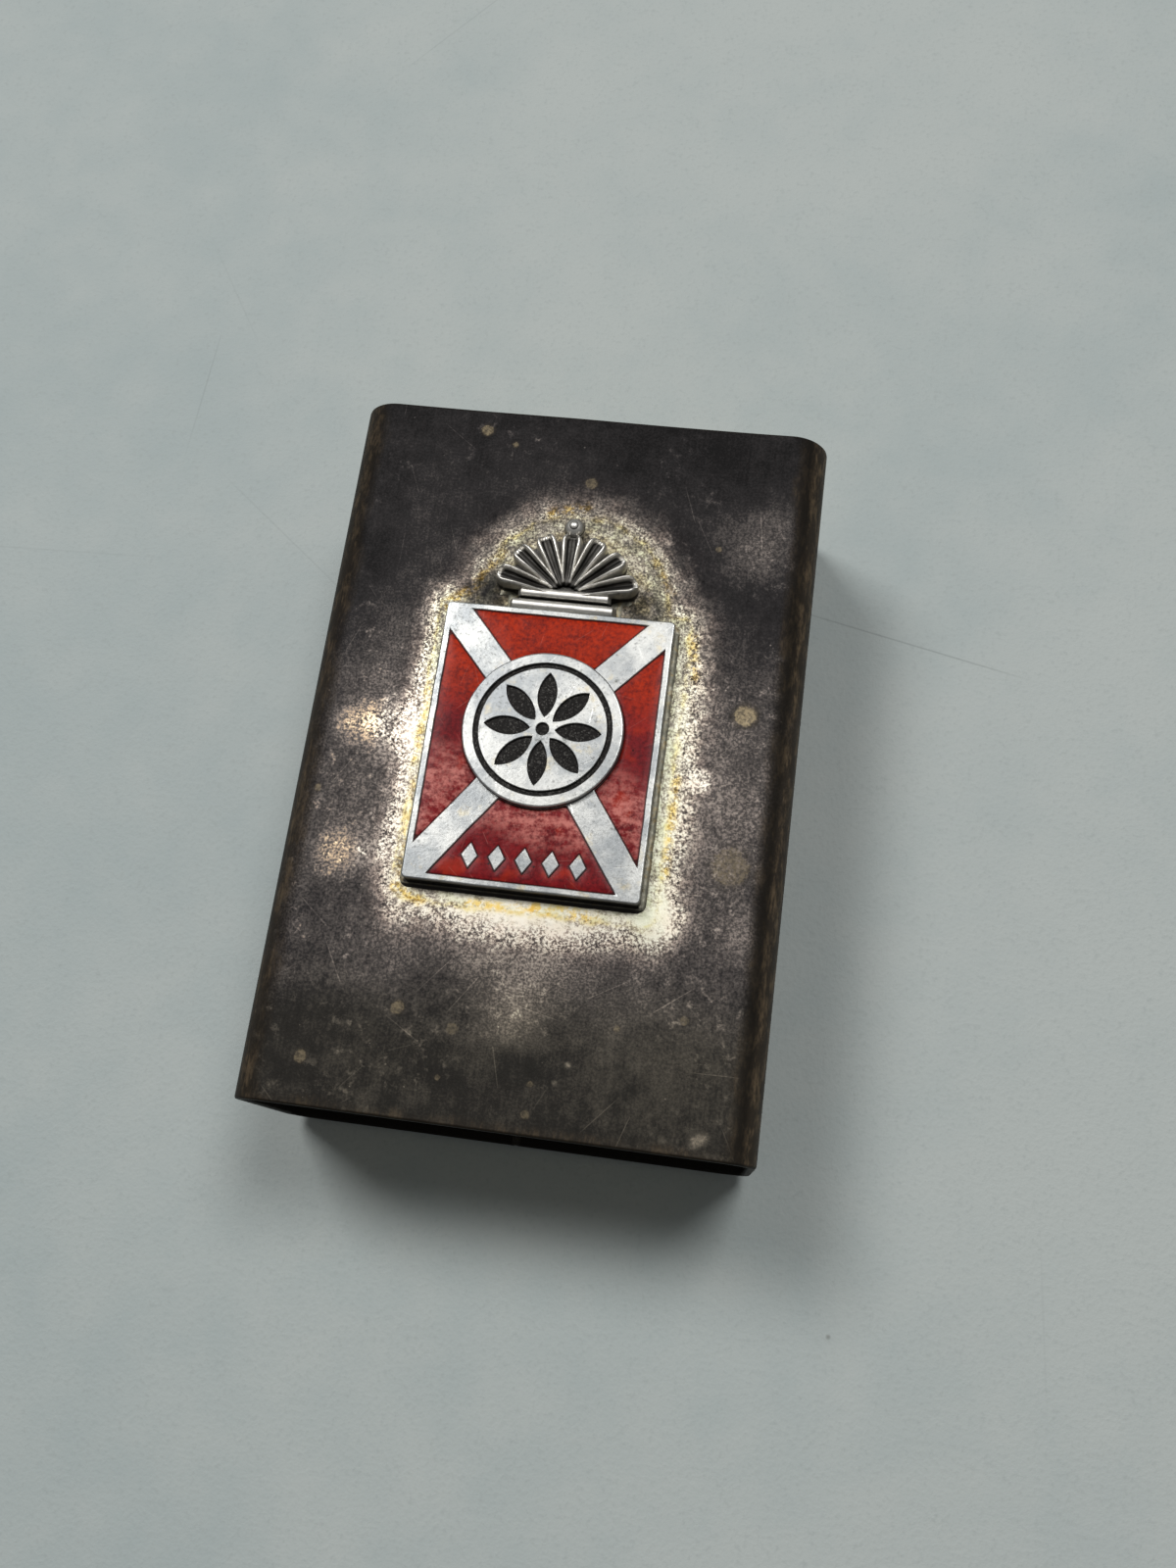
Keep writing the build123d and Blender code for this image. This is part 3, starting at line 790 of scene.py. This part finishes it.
def is_outer(edge):
    """Whether an edge of the badge runs along its outline at the top."""
    a, b = (vertex.co for vertex in edge.verts)
    beside_x = abs(abs(a.x) - badge_half.x) + abs(a.x - b.x)
    beside_y = abs(abs(a.y - badge_middle.y) - badge_half.y) + abs(a.y - b.y)
    return min(beside_x, beside_y) < 0.02 and min(a.z, b.z) > badge_high.z - 0.01


badge_silver = silver_finish("badge_silver", badge_high.z - cell_shadow, badge_high.z - band_shadow)
badge = merged_copy("badge_plate")
outer = [edge for edge in badge.edges if is_outer(edge)]
bmesh.ops.bevel(badge, geom=outer, offset=outer_round, segments=4, profile=0.5, affect="EDGES")
badge = filed(badge, edge_break)
make_piece("badge", *badge, "holder", "silver", badge_silver, "badge_plate", crisp_tops=True)

# The enamel: four fields of red glass, melted into the cells and stoned level. It has shrunk
# a little from the silver, which leaves a dark line, and is scratched and pitted by wear. A pale
# pink cloud across its lower part is a painted reflection of a light.
enamel_low, enamel_high = box_mm("enamel_upper")
enamel_spacing = 0.25
meniscus = 0.07
meniscus_reach = 0.25
enamel_wave = 0.02


def enamel_finish():
    finish = Finish("red_enamel")
    drift = finish.sway(7.0, 0.14, 2.0) + finish.y
    curl = finish.noise(3.0, 4.0, 0.7) + finish.sway(0.4, 0.5, 2.0)
    curled = finish.rise(curl, 0.26, 0.78)
    finish.ground((126, 26, 30), (76, 14, 20), curled)
    finish.coat(finish.paint((176, 46, 14), (96, 18, 14), curled), finish.rise(drift, 1.0, 6.0))
    glow = finish.mottle(0.5, 0.55, 0.7, 3.0)
    finish.coat((186, 52, 22), glow * 0.4)
    # A pale pink band across the lower part is a painted reflection of a light.
    reflection_band = finish.rise(drift, -9.5, -6.0) * finish.fall(drift, -4.0, -0.5)
    reflection_streaks = finish.sway(1.0, 0.6, 3.0, 0.6, stretch=(1, 2.2, 1)) + finish.sway(1.1, 2.6, 4.0, 0.75)
    finish.coat((204, 126, 116), finish.rise(reflection_streaks, -0.22, 0.3) * reflection_band * 0.85)
    finish.coat((206, 140, 126), finish.scratches(0.6, 0.035, 1.0) * 0.28)
    finish.coat((40, 10, 10), finish.dots(0.8, 0.1, 0.5))
    seam = finish.fall(finish.mark("rim_distance"), 0.02, 0.16)
    finish.coat((34, 9, 8), seam * 0.9)
    normal = finish.relief(curl + finish.noise(0.9, 3.0), 0.015)
    return finish.wear(Roughness=0.3, Specular_IOR_Level=0.07, Normal=normal)


def enamel_mesh(cell):
    lines = [resampled(line, 0.3) for line in outlines_at(f"enamel_{cell}", enamel_high.z)]
    lines = [[handmade(x, y) for x, y in line] for line in lines]

    def height(flat):
        climb = np.exp(-distance_to_lines(flat, lines) / meniscus_reach)
        waves = np.array([noise.noise(Vector((x / 1.4, y / 1.4, 4.0))) for x, y in flat])
        return enamel_high.z - meniscus * climb + enamel_wave * waves

    return plateau(lines, enamel_spacing, height, enamel_low.z)


enamel = enamel_finish()
for cell in ("upper", "lower", "left", "right"):
    points, faces, from_rim = enamel_mesh(cell)
    node = f"enamel_{cell}"
    make_piece(f"glass_{cell}", points, faces, "holder", "red_enamel", enamel, node, rim_distance=from_rim)

# The medallion: a thick silver disc soldered over the crossing of the bands. Its ring and
# rosette are cut with gravers, and the cuts are black with old polish and tarnish.
medallion_low, medallion_high = box_mm("medallion")
medallion_silver = silver_finish("medallion_silver", medallion_high.z - 0.16, medallion_high.z - 0.05)
disc_middle = (medallion_low + medallion_high) / 2
disc_reach = medallion_high.x - disc_middle.x
disc_round = 0.15
disc_edge_break = 0.05


def disc_copy():
    """The medallion's cut face, with its round edge and side drawn down from the face's own rim."""
    work = merged_copy("medallion")

    def reach(vertex):
        return (vertex.co.xy - disc_middle.xy).length

    rim_reach = disc_reach - disc_round
    skirt = [f for f in work.faces if f.normal.z < -0.5 or max(map(reach, f.verts)) > rim_reach + 0.005]
    bmesh.ops.delete(work, geom=skirt, context="FACES")
    edges = [e for e in work.edges if len(e.link_faces) == 1]
    turns = [(rim_reach + out, disc_round - up) for up, out in arc(15, 90, 15, disc_round)]
    for radius, depth in [*turns, (disc_reach, medallion_high.z - medallion_low.z)]:
        made = bmesh.ops.extrude_edge_only(work, edges=edges)["geom"]
        for vertex in (v for v in made if isinstance(v, bmesh.types.BMVert)):
            place = disc_middle.xy + (vertex.co.xy - disc_middle.xy) * radius / reach(vertex)
            vertex.co = (*place, medallion_high.z - depth)
        edges = [e for e in made if isinstance(e, bmesh.types.BMEdge) and len(e.link_faces) == 1]
    bmesh.ops.holes_fill(work, edges=edges)
    bmesh.ops.recalc_face_normals(work, faces=work.faces)
    return work


disc = filed(disc_copy(), disc_edge_break)
make_piece("rosette_disc", *disc, "holder", "silver", medallion_silver, "medallion", crisp_tops=True)

# The crest: one small silver casting, a foot of two ribs and a fan of hollowed leaves with a
# bead over it. Its hollows were left black when the raised edges were polished, and everything
# low against the seat is painted dark as shade.
crest_low, crest_high = box_mm("crest")
foot_width = 8.4
foot_depth = 0.9
foot_height = 1.5
rib_width = 7.4
rib_depth = 0.85
rib_height = 1.2
rib_gap = 0.3
fan_reach = 4.9
fan_back_height = 0.7
fan_back_slope = 0.15
leaf_count = 7
leaf_spread = 76.0
leaf_start = 0.8
leaf_length = 4.5
side_leaf_length = 5.0
leaf_root_half = 0.45
leaf_tip_half = 0.875
leaf_root_height = 1.0
leaf_height = 1.68
hollow_share = 0.45
vein_share = 0.05
bead_radius = 0.85
crest_seat = crest_low.z
fan_centre = crest_low.y + foot_depth + rib_gap + rib_depth / 2


class Rule(Graph):
    """A geometry node tree, whose named inputs hold the sizes that its shape follows."""

    def __init__(self, name, **sizes):
        super().__init__(bpy.data.node_groups.new(name, "GeometryNodeTree"))
        face = self.tree.interface
        for way in ("INPUT", "OUTPUT"):
            face.new_socket("Geometry", in_out=way, socket_type="NodeSocketGeometry")
        kinds = {int: "NodeSocketInt", float: "NodeSocketFloat", bpy.types.Material: "NodeSocketMaterial"}
        self.sizes = {}
        for size, value in sizes.items():
            made = face.new_socket(size, in_out="INPUT", socket_type=kinds[type(value)])
            self.sizes[made.identifier] = value
        outputs = self.tree.nodes.new("NodeGroupInput").outputs
        self.inputs = {output.name: Value(self, output) for output in outputs}

    def copy_seed(self, count, places, **turns):
        """Copies of the seed at so many places, made real and given the material."""
        line = self.node("GeometryNodeMeshLine", {"Count": count, "Offset": (0, 0, 0)})
        line = self.node("GeometryNodeSetPosition", {0: line, "Position": places})
        placing = {"Points": line, "Instance": self.inputs["Geometry"], **turns}
        copies = self.node("GeometryNodeInstanceOnPoints", placing)
        real = self.node("GeometryNodeRealizeInstances", {0: copies})
        dressed = self.node("GeometryNodeSetMaterial", {0: real, "Material": self.inputs["material"]})
        self.feed(self.tree.nodes.new("NodeGroupOutput").inputs[0], dressed)

    def grow(self, name, points, faces, body, slot, node, **marks):
        """Runs the rule on a seed shape and keeps the result as a plain piece."""
        piece = linked(name, clean_mesh(name, points, faces, marks, 50.0))
        modifier = piece.modifiers.new("rule", "NODES")
        modifier.node_group = self.tree
        for identifier, value in self.sizes.items():
            modifier[identifier] = value
        settle(piece, modifier, body, node)


def crest_finish():
    finish = Finish("crest_silver")
    fine = finish.noise(2.2, 3.0, 0.6)
    finish.ground((216, 213, 206), (164, 161, 154), finish.rise(fine, 0.45, 0.8))
    # Painted shade darkens everything low against the seat; the hollows are black with tarnish.
    low = finish.fall(fine * 0.1 + finish.z, crest_seat + 0.5, crest_seat + 0.85)
    black = finish.most(low, finish.rise(finish.mark("hollow"), 0.45, 0.8))
    finish.coat((24, 22, 20), black * 0.96)
    rough = finish.rise(fine, 0.35, 0.7, 0.36, 0.46)
    return finish.wear(Metallic=0.95, Roughness=rough, Normal=finish.relief(fine, 0.003))


def leaf_shape():
    """A leaf with two polished edges and a hollow between them, which has a fine vein."""
    end = leaf_start + leaf_length
    tip_centre = end - leaf_tip_half
    root_centre = leaf_start + leaf_root_half
    shares = [0.0, 0.03, 0.08, 0.15, 0.25, 0.38, 0.5, 0.62, 0.7, 0.77]
    shares += [0.82, 0.86, 0.9, 0.93, 0.955, 0.975, 0.99, 1.0]
    across = [-1.0, -1.0, -0.985, -0.95, -0.9, -0.83, -0.75, -0.66, -0.58, -0.51, -0.45, -0.38, -0.28, -0.15]
    across += [0.0] + [-u for u in reversed(across)]
    rings, hollows = [], []
    for share in shares:
        y = leaf_start + leaf_length * share
        if y < root_centre:
            half = math.sqrt(max(0.0, leaf_root_half**2 - (root_centre - y) ** 2))
        elif y > tip_centre:
            half = math.sqrt(max(0.0, leaf_tip_half**2 - (y - tip_centre) ** 2))
        else:
            widening = (leaf_tip_half - leaf_root_half) / (tip_centre - root_centre)
            half = leaf_root_half + widening * (y - root_centre)
        half = max(half, 0.02)
        swell = math.sin(math.pi * min(1.0, share / 1.5)) ** 0.7
        height = leaf_root_height + (leaf_height - leaf_root_height) * swell
        height *= math.sqrt(max(0.0, 1 - max(0.0, (y - end + 0.5) / 0.5) ** 2)) * 0.75 + 0.25
        deep = max(0.0, min(1.0, half / leaf_root_half - 0.35))
        ring = []
        for number, u in enumerate(across):
            outer = number in (0, len(across) - 1)
            edge = max(0.0, (abs(u) - 0.7) / 0.3)
            profile = math.sqrt(max(0.0, 1 - edge**2)) * 0.5 + 0.5
            profile -= deep * hollow_share * math.exp(-((u / 0.5) ** 6))
            profile += deep * vein_share * math.exp(-((u / 0.12) ** 2))
            ring.append((u * half, y, 0.0 if outer else height * profile))
            sunk = math.exp(-((u / 0.5) ** 8)) * min(1.0, 8 * (1 - share))
            hollows.append(1.0 if outer or share < 0.05 else sunk)
        rings.append(ring)
    return *skin(rings), hollows


def fan_of_leaves(material):
    """The leaves side by side round one centre, the outer ones longer."""
    fan = Rule(
        "fan_of_leaves", leaves=leaf_count, spread=math.radians(leaf_spread), centre_y=fan_centre * mm,
        seat=crest_seat * mm, side_stretch=side_leaf_length / leaf_length - 1, material=material)
    size = fan.inputs
    half_count = (size["leaves"] - 1.0) / 2.0
    leaf_share = (fan.node("GeometryNodeInputIndex", {}) - half_count) / half_count
    turned = fan.joined(z=leaf_share * size["spread"] * -1.0)
    stretched = fan.joined(1.0, abs(leaf_share) * size["side_stretch"] + 1.0, 1.0)
    centre = fan.joined(y=size["centre_y"], z=size["seat"])
    fan.copy_seed(size["leaves"], centre, Rotation=turned, Scale=stretched)
    return fan


def bar_shape(width, depth, height, start_y, wave):
    """A half-round bar across the crest, swelling a little as a hand-finished casting does."""
    rings, hollows = [], []
    for x in steps(-width / 2, width / 2, 0.25):
        end = min(1.0, (width / 2 - abs(x)) / 0.3)
        shrink = 0.7 + 0.3 * math.sqrt(max(0.0, 1 - (1 - end) ** 2))
        tall = height * shrink * (1 + 0.03 * noise.noise(Vector((x / 1.2, wave, 0))))
        half = depth * (0.85 + 0.15 * shrink) / 2
        middle = start_y + depth / 2
        ring = [(x, middle - half, crest_seat)]
        for out, up in arc(180, 0, 18):
            ring.append((x, middle + out * half, crest_seat + tall * (0.62 + 0.38 * max(0.0, up) ** 0.6)))
        ring.append((x, middle + half, crest_seat))
        rings.append(ring)
        hollows += [1.0, 1.0, 0.5] + [0.0] * (len(ring) - 6) + [0.5, 1.0, 1.0]
    return *skin(rings), hollows


def fan_back():
    """The thin half-round back that joins the leaves, bead and ribs into one casting."""
    half_rib = rib_width / 2
    start = crest_low.y + foot_depth * 0.5
    outline = [(x, fan_centre + y) for x, y in arc(6, 174, 5, fan_reach)]
    outline += [(-half_rib, fan_centre), (-half_rib, start), (half_rib, start), (half_rib, fan_centre)]
    middle_y = fan_centre + fan_reach * 0.35
    shrink = 1 - fan_back_slope / fan_reach
    top = crest_seat + fan_back_height
    rings = [[(x, y, z) for x, y in outline] for z in (crest_seat, top - fan_back_slope)]
    rings.append([(x * shrink, middle_y + (y - middle_y) * shrink, top) for x, y in outline])
    return *skin(rings), [1.0] * 3 * len(outline)


def bead_shape():
    """A turned bead with a raised band round it and a button on top."""
    y = crest_high.y - bead_radius
    profile = [(0.62, 0.0), (0.74, 0.2), (0.8, 0.42), (0.8, 0.6), (0.85, 0.66), (0.85, 0.86), (0.8, 0.92)]
    profile += [(0.77, 1.1), (0.66, 1.3), (0.48, 1.46), (0.3, 1.53), (0.3, 1.6), (0.2, 1.68), (0.0, 1.7)]
    rings, hollows = [], []
    for radius, height in profile:
        ring = [(out_x, y + out_y, crest_seat + height) for out_x, out_y in arc(0, 345, 15, radius)]
        rings.append(ring)
        hollows += [1.0 if height < 0.5 or height in (0.92, 1.53) else 0.0] * len(ring)
    return *skin(rings, caps=(0,)), hollows


crest_silver = crest_finish()
points, faces, hollows = leaf_shape()
fan_of_leaves(crest_silver).grow("crest_leaves", points, faces, "holder", "silver", "crest", hollow=hollows)
rib_start = crest_low.y + foot_depth + rib_gap
castings = {
    "crest_foot": bar_shape(foot_width, foot_depth, foot_height, crest_low.y, 1.0),
    "crest_rib": bar_shape(rib_width, rib_depth, rib_height, rib_start, 5.0),
    "crest_back": fan_back(),
    "crest_bead": bead_shape(),
}
for name, (points, faces, hollows) in castings.items():
    make_piece(name, points, faces, "holder", "silver", crest_silver, "crest", hollow=hollows)

# The matchbox cover: one strip of thin grey card, creased at four corners and glued where its
# ends overlap. Rubbing against the sleeve has furred its corners.
cover_low, cover_high = box_mm("matchbox_cover")
card = 0.5
crease_radius = 0.8
card_end = 0.1
card_sink = 0.05


def card_finish(name, light, deep):
    finish = Finish(name)
    pulp = finish.noise(1.4, 5.0, 0.7)
    finish.ground(light, deep, finish.rise(pulp, 0.4, 0.66))
    fibre = finish.mottle(2.2, 0.6, 0.72, 3.0, stretch=(1, 0.2, 1))
    finish.coat((226, 214, 190), fibre * 0.35)
    grime = finish.mottle(0.12, 0.5, 0.75, 3.0)
    finish.coat((112, 94, 72), grime * 0.45)
    finish.coat((78, 62, 48), finish.mottle(3.2, 0.71, 0.75, 2.0))
    return finish.wear(Roughness=0.88, Normal=finish.relief(pulp, 0.05))


def cover_mesh():
    """The card tube: rings of points outside and inside, with softly rounded cut ends."""
    middle_z = (cover_high.z + cover_low.z) / 2
    flat_z = cover_high.z - middle_z - crease_radius
    corners = []
    for (x, z), outs in round_corners(cover_high.x - crease_radius, flat_z):
        z += middle_z
        corners += [((x + crease_radius * out[0], z + crease_radius * out[1]), out) for out in outs]
    section = []
    for (a, out), (b, _) in zip(corners, corners[1:] + corners[:1]):
        shares = steps(0.0, 1.0, 1.5 / math.dist(a, b))[:-1]
        section += [((a[0] + (b[0] - a[0]) * share, a[1] + (b[1] - a[1]) * share), out) for share in shares]
    rows = steps(cover_low.y + card_end, cover_high.y - card_end, 1.5)
    soft = (0.12, card - 0.12)
    ring = [(y, 0.0) for y in rows] + [(cover_high.y, depth) for depth in soft]
    ring += [(y, card) for y in reversed(rows)] + [(cover_low.y, depth) for depth in reversed(soft)]
    rings = []
    for (x, z), (out_x, out_z) in section + section[:1]:
        waves = [noise.noise(Vector((x / 7, y / 9, z / 7))) for y, _ in ring]
        sinks = [depth + card_sink * (1 + wave) for (_, depth), wave in zip(ring, waves)]
        rings.append([(x - out_x * sink, y, z - out_z * sink) for (y, _), sink in zip(ring, sinks)])
    return skin(rings, caps=())


grey_card = card_finish("grey_card", (186, 172, 148), (160, 144, 118))
make_piece("card_cover", *cover_mesh(), "matchbox", "grey_card", grey_card, "matchbox_cover")

# The labels: thin paper printed in two colours with a plain border and a lattice of lozenges,
# pasted on the top and the bottom of the cover.
label_high = box_mm("label_upper")[1]
label_border = 2.2
label_edge_break = 0.02
band_start = 0.55
lattice_pitch = 4.0
print_red = (140, 44, 30)


def label_finish():
    finish = Finish("printed_label")
    x, y = finish.x, finish.y
    edge = finish.least(label_high.x - abs(x), label_high.y - abs(y))
    slant = finish.math("PINGPONG", x + y, lattice_pitch / 2)
    other = finish.math("PINGPONG", x - y, lattice_pitch / 2)
    lines = finish.fall(finish.least(slant, other), 0.16, 0.24)
    dots = finish.rise(slant + other, 3.4, 3.5)
    printed = finish.most(lines, dots) * finish.rise(edge, label_border, label_border + 0.05)
    ink = finish.noise(2.4, 3.0)
    finish.ground((214, 186, 112), (196, 164, 92), finish.mottle(0.2, 0.4, 0.7, 4.0))
    finish.coat(print_red, printed * 0.85)
    band_end = label_border - band_start
    band = finish.rise(edge, band_start, band_start + 0.05) * finish.fall(edge, band_end, band_end + 0.05)
    finish.coat(print_red, band * 0.85)
    finish.coat((222, 208, 170), finish.rise(ink, 0.55, 0.7) * finish.fall(edge, 0.4, 3.0))
    return finish.wear(Roughness=0.7, Normal=finish.relief(ink, 0.02))


printed_label = label_finish()
for side in ("upper", "lower"):
    label = filed(merged_copy(f"label_{side}"), label_edge_break, longest=3.0)
    make_piece(f"paper_{side}", *label, "matchbox", "printed_label", printed_label, f"label_{side}")

# The striking strips: a brown compound of glass powder and red phosphorus, rolled onto both
# sides of the cover. Matches have scored pale lines along it.
strip_edge_break = 0.04


def striking_finish():
    finish = Finish("striking_compound")
    grit = finish.noise(6.0, 3.0, 0.7)
    finish.ground((74, 46, 38), (104, 68, 56), finish.rise(grit, 0.4, 0.65))
    score = finish.mottle(1.3, 0.58, 0.68, 3.0, stretch=(1, 0.07, 1.6))
    finish.coat((158, 128, 112), score * 0.6)
    return finish.wear(Roughness=0.8, Normal=finish.relief(grit, 0.06))


striking = striking_finish()
for side in ("left", "right"):
    node = f"striking_strip_{side}"
    strip = filed(merged_copy(node), strip_edge_break, longest=3.0)
    make_piece(f"strike_{side}", *strip, "matchbox", "striking_compound", striking, node)

# The tray: thin white-faced card, scored, turned up at four sides and glued at the corners.
tray_low, tray_high = box_mm("match_tray")
tray_card_thickness = 0.45
tray_edge_break = 0.09


def stay(x, y):
    return x, y


tray_card = card_finish("tray_card", (204, 194, 172), (184, 170, 144))
tray = filed(merged_copy("match_tray"), tray_edge_break, stray=stay, longest=4.0)
make_piece("card_tray", *tray, "tray", "grey_card", tray_card, "match_tray")

# The matches: square splints cut from aspen, dipped at one end. They lie in layers with all
# heads at the near end, a little out of line as they settle when the tray is pushed home.
splint_side = 2.1
splint_corner = 0.12
head_radius = 1.2
head_length = 3.3
head_gap_across = 0.1
head_gap_up = 0.05
match_near_gap = 1.2
match_stagger = 0.3
splint_low, splint_high = box_mm("match_splints")
head_low, head_high = box_mm("match_heads")
inner_half_x = tray_high.x - tray_card_thickness
pitch_across = 2 * head_radius + head_gap_across
pitch_up = 2 * head_radius + head_gap_up
matches_per_layer = int(2 * inner_half_x / pitch_across)
match_layers = round((head_high.z - head_low.z - 2 * head_radius) / pitch_up) + 1
near_end = tray_low.y + tray_card_thickness + match_near_gap
first_axis = head_low.z + head_radius
splint_length = splint_high.y - splint_low.y - match_stagger * 4


def splint_shape():
    """A square stick with broken corners, cut square at its far end and dipped at the other."""
    half = splint_side / 2
    inner = half - splint_corner
    section = [(half, inner), (inner, half), (-inner, half), (-half, inner)]
    section += [(-x, -z) for x, z in section]
    end = head_length + splint_length
    rows = [(head_length, 1.0), (end - splint_length / 2, 1.0), (end - 0.08, 1.0), (end, 0.95)]
    return skin([[(x * shrink, y, z * shrink) for x, z in section] for y, shrink in rows])


def head_shape():
    """A head: a short barrel of dried compound with a domed tip and a slight skirt."""
    profile = [(0.0, 0.0), (0.45, 0.06), (0.8, 0.26), (1.05, 0.62), (1.17, 1.1), (head_radius, 1.7)]
    profile += [(1.15, 2.5), (1.04, 3.05), (0.9, head_length)]
    rings = [[(x, y, z) for x, z in arc(0, 330, 30, radius)] for radius, y in profile]
    return skin(rings, caps=(-1,))


def wood_finish():
    finish = Finish("splint_wood")
    grain = finish.noise(1.6, 4.0, 0.6, stretch=(1, 0.06, 1))
    finish.ground((226, 200, 154), (188, 152, 102), finish.rise(grain, 0.4, 0.68))
    finish.coat((236, 218, 180), finish.mottle(0.35, 0.45, 0.6, 1.0, stretch=(1, 0.02, 1)) * 0.6)
    finish.coat((146, 112, 74), finish.mottle(4.0, 0.66, 0.72, 2.0, stretch=(1, 0.1, 1)))
    scorch = finish.fall(finish.y, splint_low.y + 0.2, splint_low.y + 1.8)
    finish.coat((176, 122, 84), scorch * 0.5)
    return finish.wear(Roughness=0.7, Normal=finish.relief(grain, 0.06))


def head_finish():
    finish = Finish("head_compound")
    lump = finish.noise(2.4, 4.0, 0.6)
    finish.ground((112, 34, 26), (84, 24, 20), finish.rise(lump, 0.42, 0.66))
    dust = finish.mottle(5.0, 0.64, 0.72, 2.0)
    finish.coat((170, 110, 96), dust * 0.5)
    return finish.wear(Roughness=0.62, Normal=finish.relief(lump, 0.12))


def layers_of_matches(material):
    """The places of all matches: so many across, in layers, each a little further in or out."""
    rule = Rule(
        "layers_of_matches", across=matches_per_layer, layers=match_layers, pitch=pitch_across * mm,
        rise=pitch_up * mm, near_end=near_end * mm, first_axis=first_axis * mm, stagger=match_stagger * mm,
        seed=7, material=material)
    size = rule.inputs
    index = rule.node("GeometryNodeInputIndex", {})
    layer = rule.math("FLOOR", (index + 0.5) / size["across"])
    number = index - layer * size["across"]
    x = (number - (size["across"] - 1.0) / 2.0) * size["pitch"]
    out_of_line = rule.math("FLOORED_MODULO", number * 3.0 + layer * 2.0, 5.0)
    y = out_of_line * size["stagger"] + size["near_end"]
    z = layer * size["rise"] + size["first_axis"]
    limits = {"Min": (-0.0008, -0.06, -0.0008), "Max": (0.0008, 0.06, 0.0008), "Seed": size["seed"]}
    roll = rule.node("FunctionNodeRandomValue", limits, data_type="FLOAT_VECTOR")
    rule.copy_seed(size["across"] * size["layers"], rule.joined(x, y, z), Rotation=roll)
    return rule


splints = layers_of_matches(wood_finish())
splints.grow("splints", *splint_shape(), "tray", "splint_wood", "match_splints")
heads = layers_of_matches(head_finish())
heads.grow("heads", *head_shape(), "tray", "head_compound", "match_heads")

# The stage: a pale worn board, two broad soft lamps high behind the holder, one to each side,
# and plain even light from all round. The camera looks down at the angle of the photograph.
floor_side = 4.0


def floor_finish():
    finish = Finish("pale_board")
    stain = finish.noise(0.012, 4.0, 0.6) + finish.sway(0.35, 0.15, 4.0, 0.65)
    finish.ground((155, 165, 164), (169, 175, 172), finish.rise(stain, 0.3, 0.7))
    weave = finish.noise(2.2, 3.0, 0.6) + finish.sway(0.3, 0.5, 3.0, 0.6)
    finish.coat((146, 153, 151), finish.rise(weave, 0.5, 0.8) * 0.4)
    finish.coat((120, 126, 124), finish.scratches(0.025, 0.12, 16.0) * 0.45)
    finish.coat((104, 106, 100), finish.dots(0.06, 0.42, 0.5) * 0.6)
    return finish.wear(Roughness=0.6, Specular_IOR_Level=0.25, Normal=finish.relief(weave, 0.05))


corner = floor_side / 2
corners = [(-corner, -corner, 0), (corner, -corner, 0), (corner, corner, 0), (-corner, corner, 0)]
floor_mesh = bpy.data.meshes.new("floor")
floor_mesh.from_pydata(corners, [], [(0, 1, 2, 3)])
floor_mesh.materials.append(floor_finish())
linked("floor", floor_mesh)

world = bpy.data.worlds.new("room")
world.use_nodes = True
world.node_tree.nodes["Background"].inputs["Color"].default_value = (1.0, 1.0, 1.0, 1.0)
world.node_tree.nodes["Background"].inputs["Strength"].default_value = 0.15
bpy.context.scene.world = world

lamps = (("left_lamp", (-0.42, 0.36, 0.83), 10.2), ("right_lamp", (0.24, 0.37, 0.90), 9.0))
for name, direction, watts in lamps:
    lamp_data = bpy.data.lights.new(name, "AREA")
    lamp_data.size = 0.45
    lamp_data.energy = watts
    lamp = linked(name, lamp_data)
    lamp.location = 1.4 * Vector(direction)
    lamp.rotation_euler = Vector(direction).to_track_quat("Z", "Y").to_euler()

camera_place = Vector((15.6, -33.8, 125.4)) * mm
look = Vector((-0.1056, 0.2815, -0.9537)).normalized()
camera_right = look.cross(Vector((-0.1081, 0.9502, 0.2924))).normalized()
camera_data = bpy.data.cameras.new("camera")
camera_data.sensor_width = 36.0
camera_data.lens = 33.5
camera_data.clip_start = 0.005
camera_data.clip_end = 10.0
camera = linked("camera", camera_data)
turn = Matrix((camera_right, camera_right.cross(look), -look)).transposed()
camera.matrix_world = Matrix.Translation(camera_place) @ turn.to_4x4()
bpy.context.scene.camera = camera
bpy.context.scene.view_settings.view_transform = "Standard"
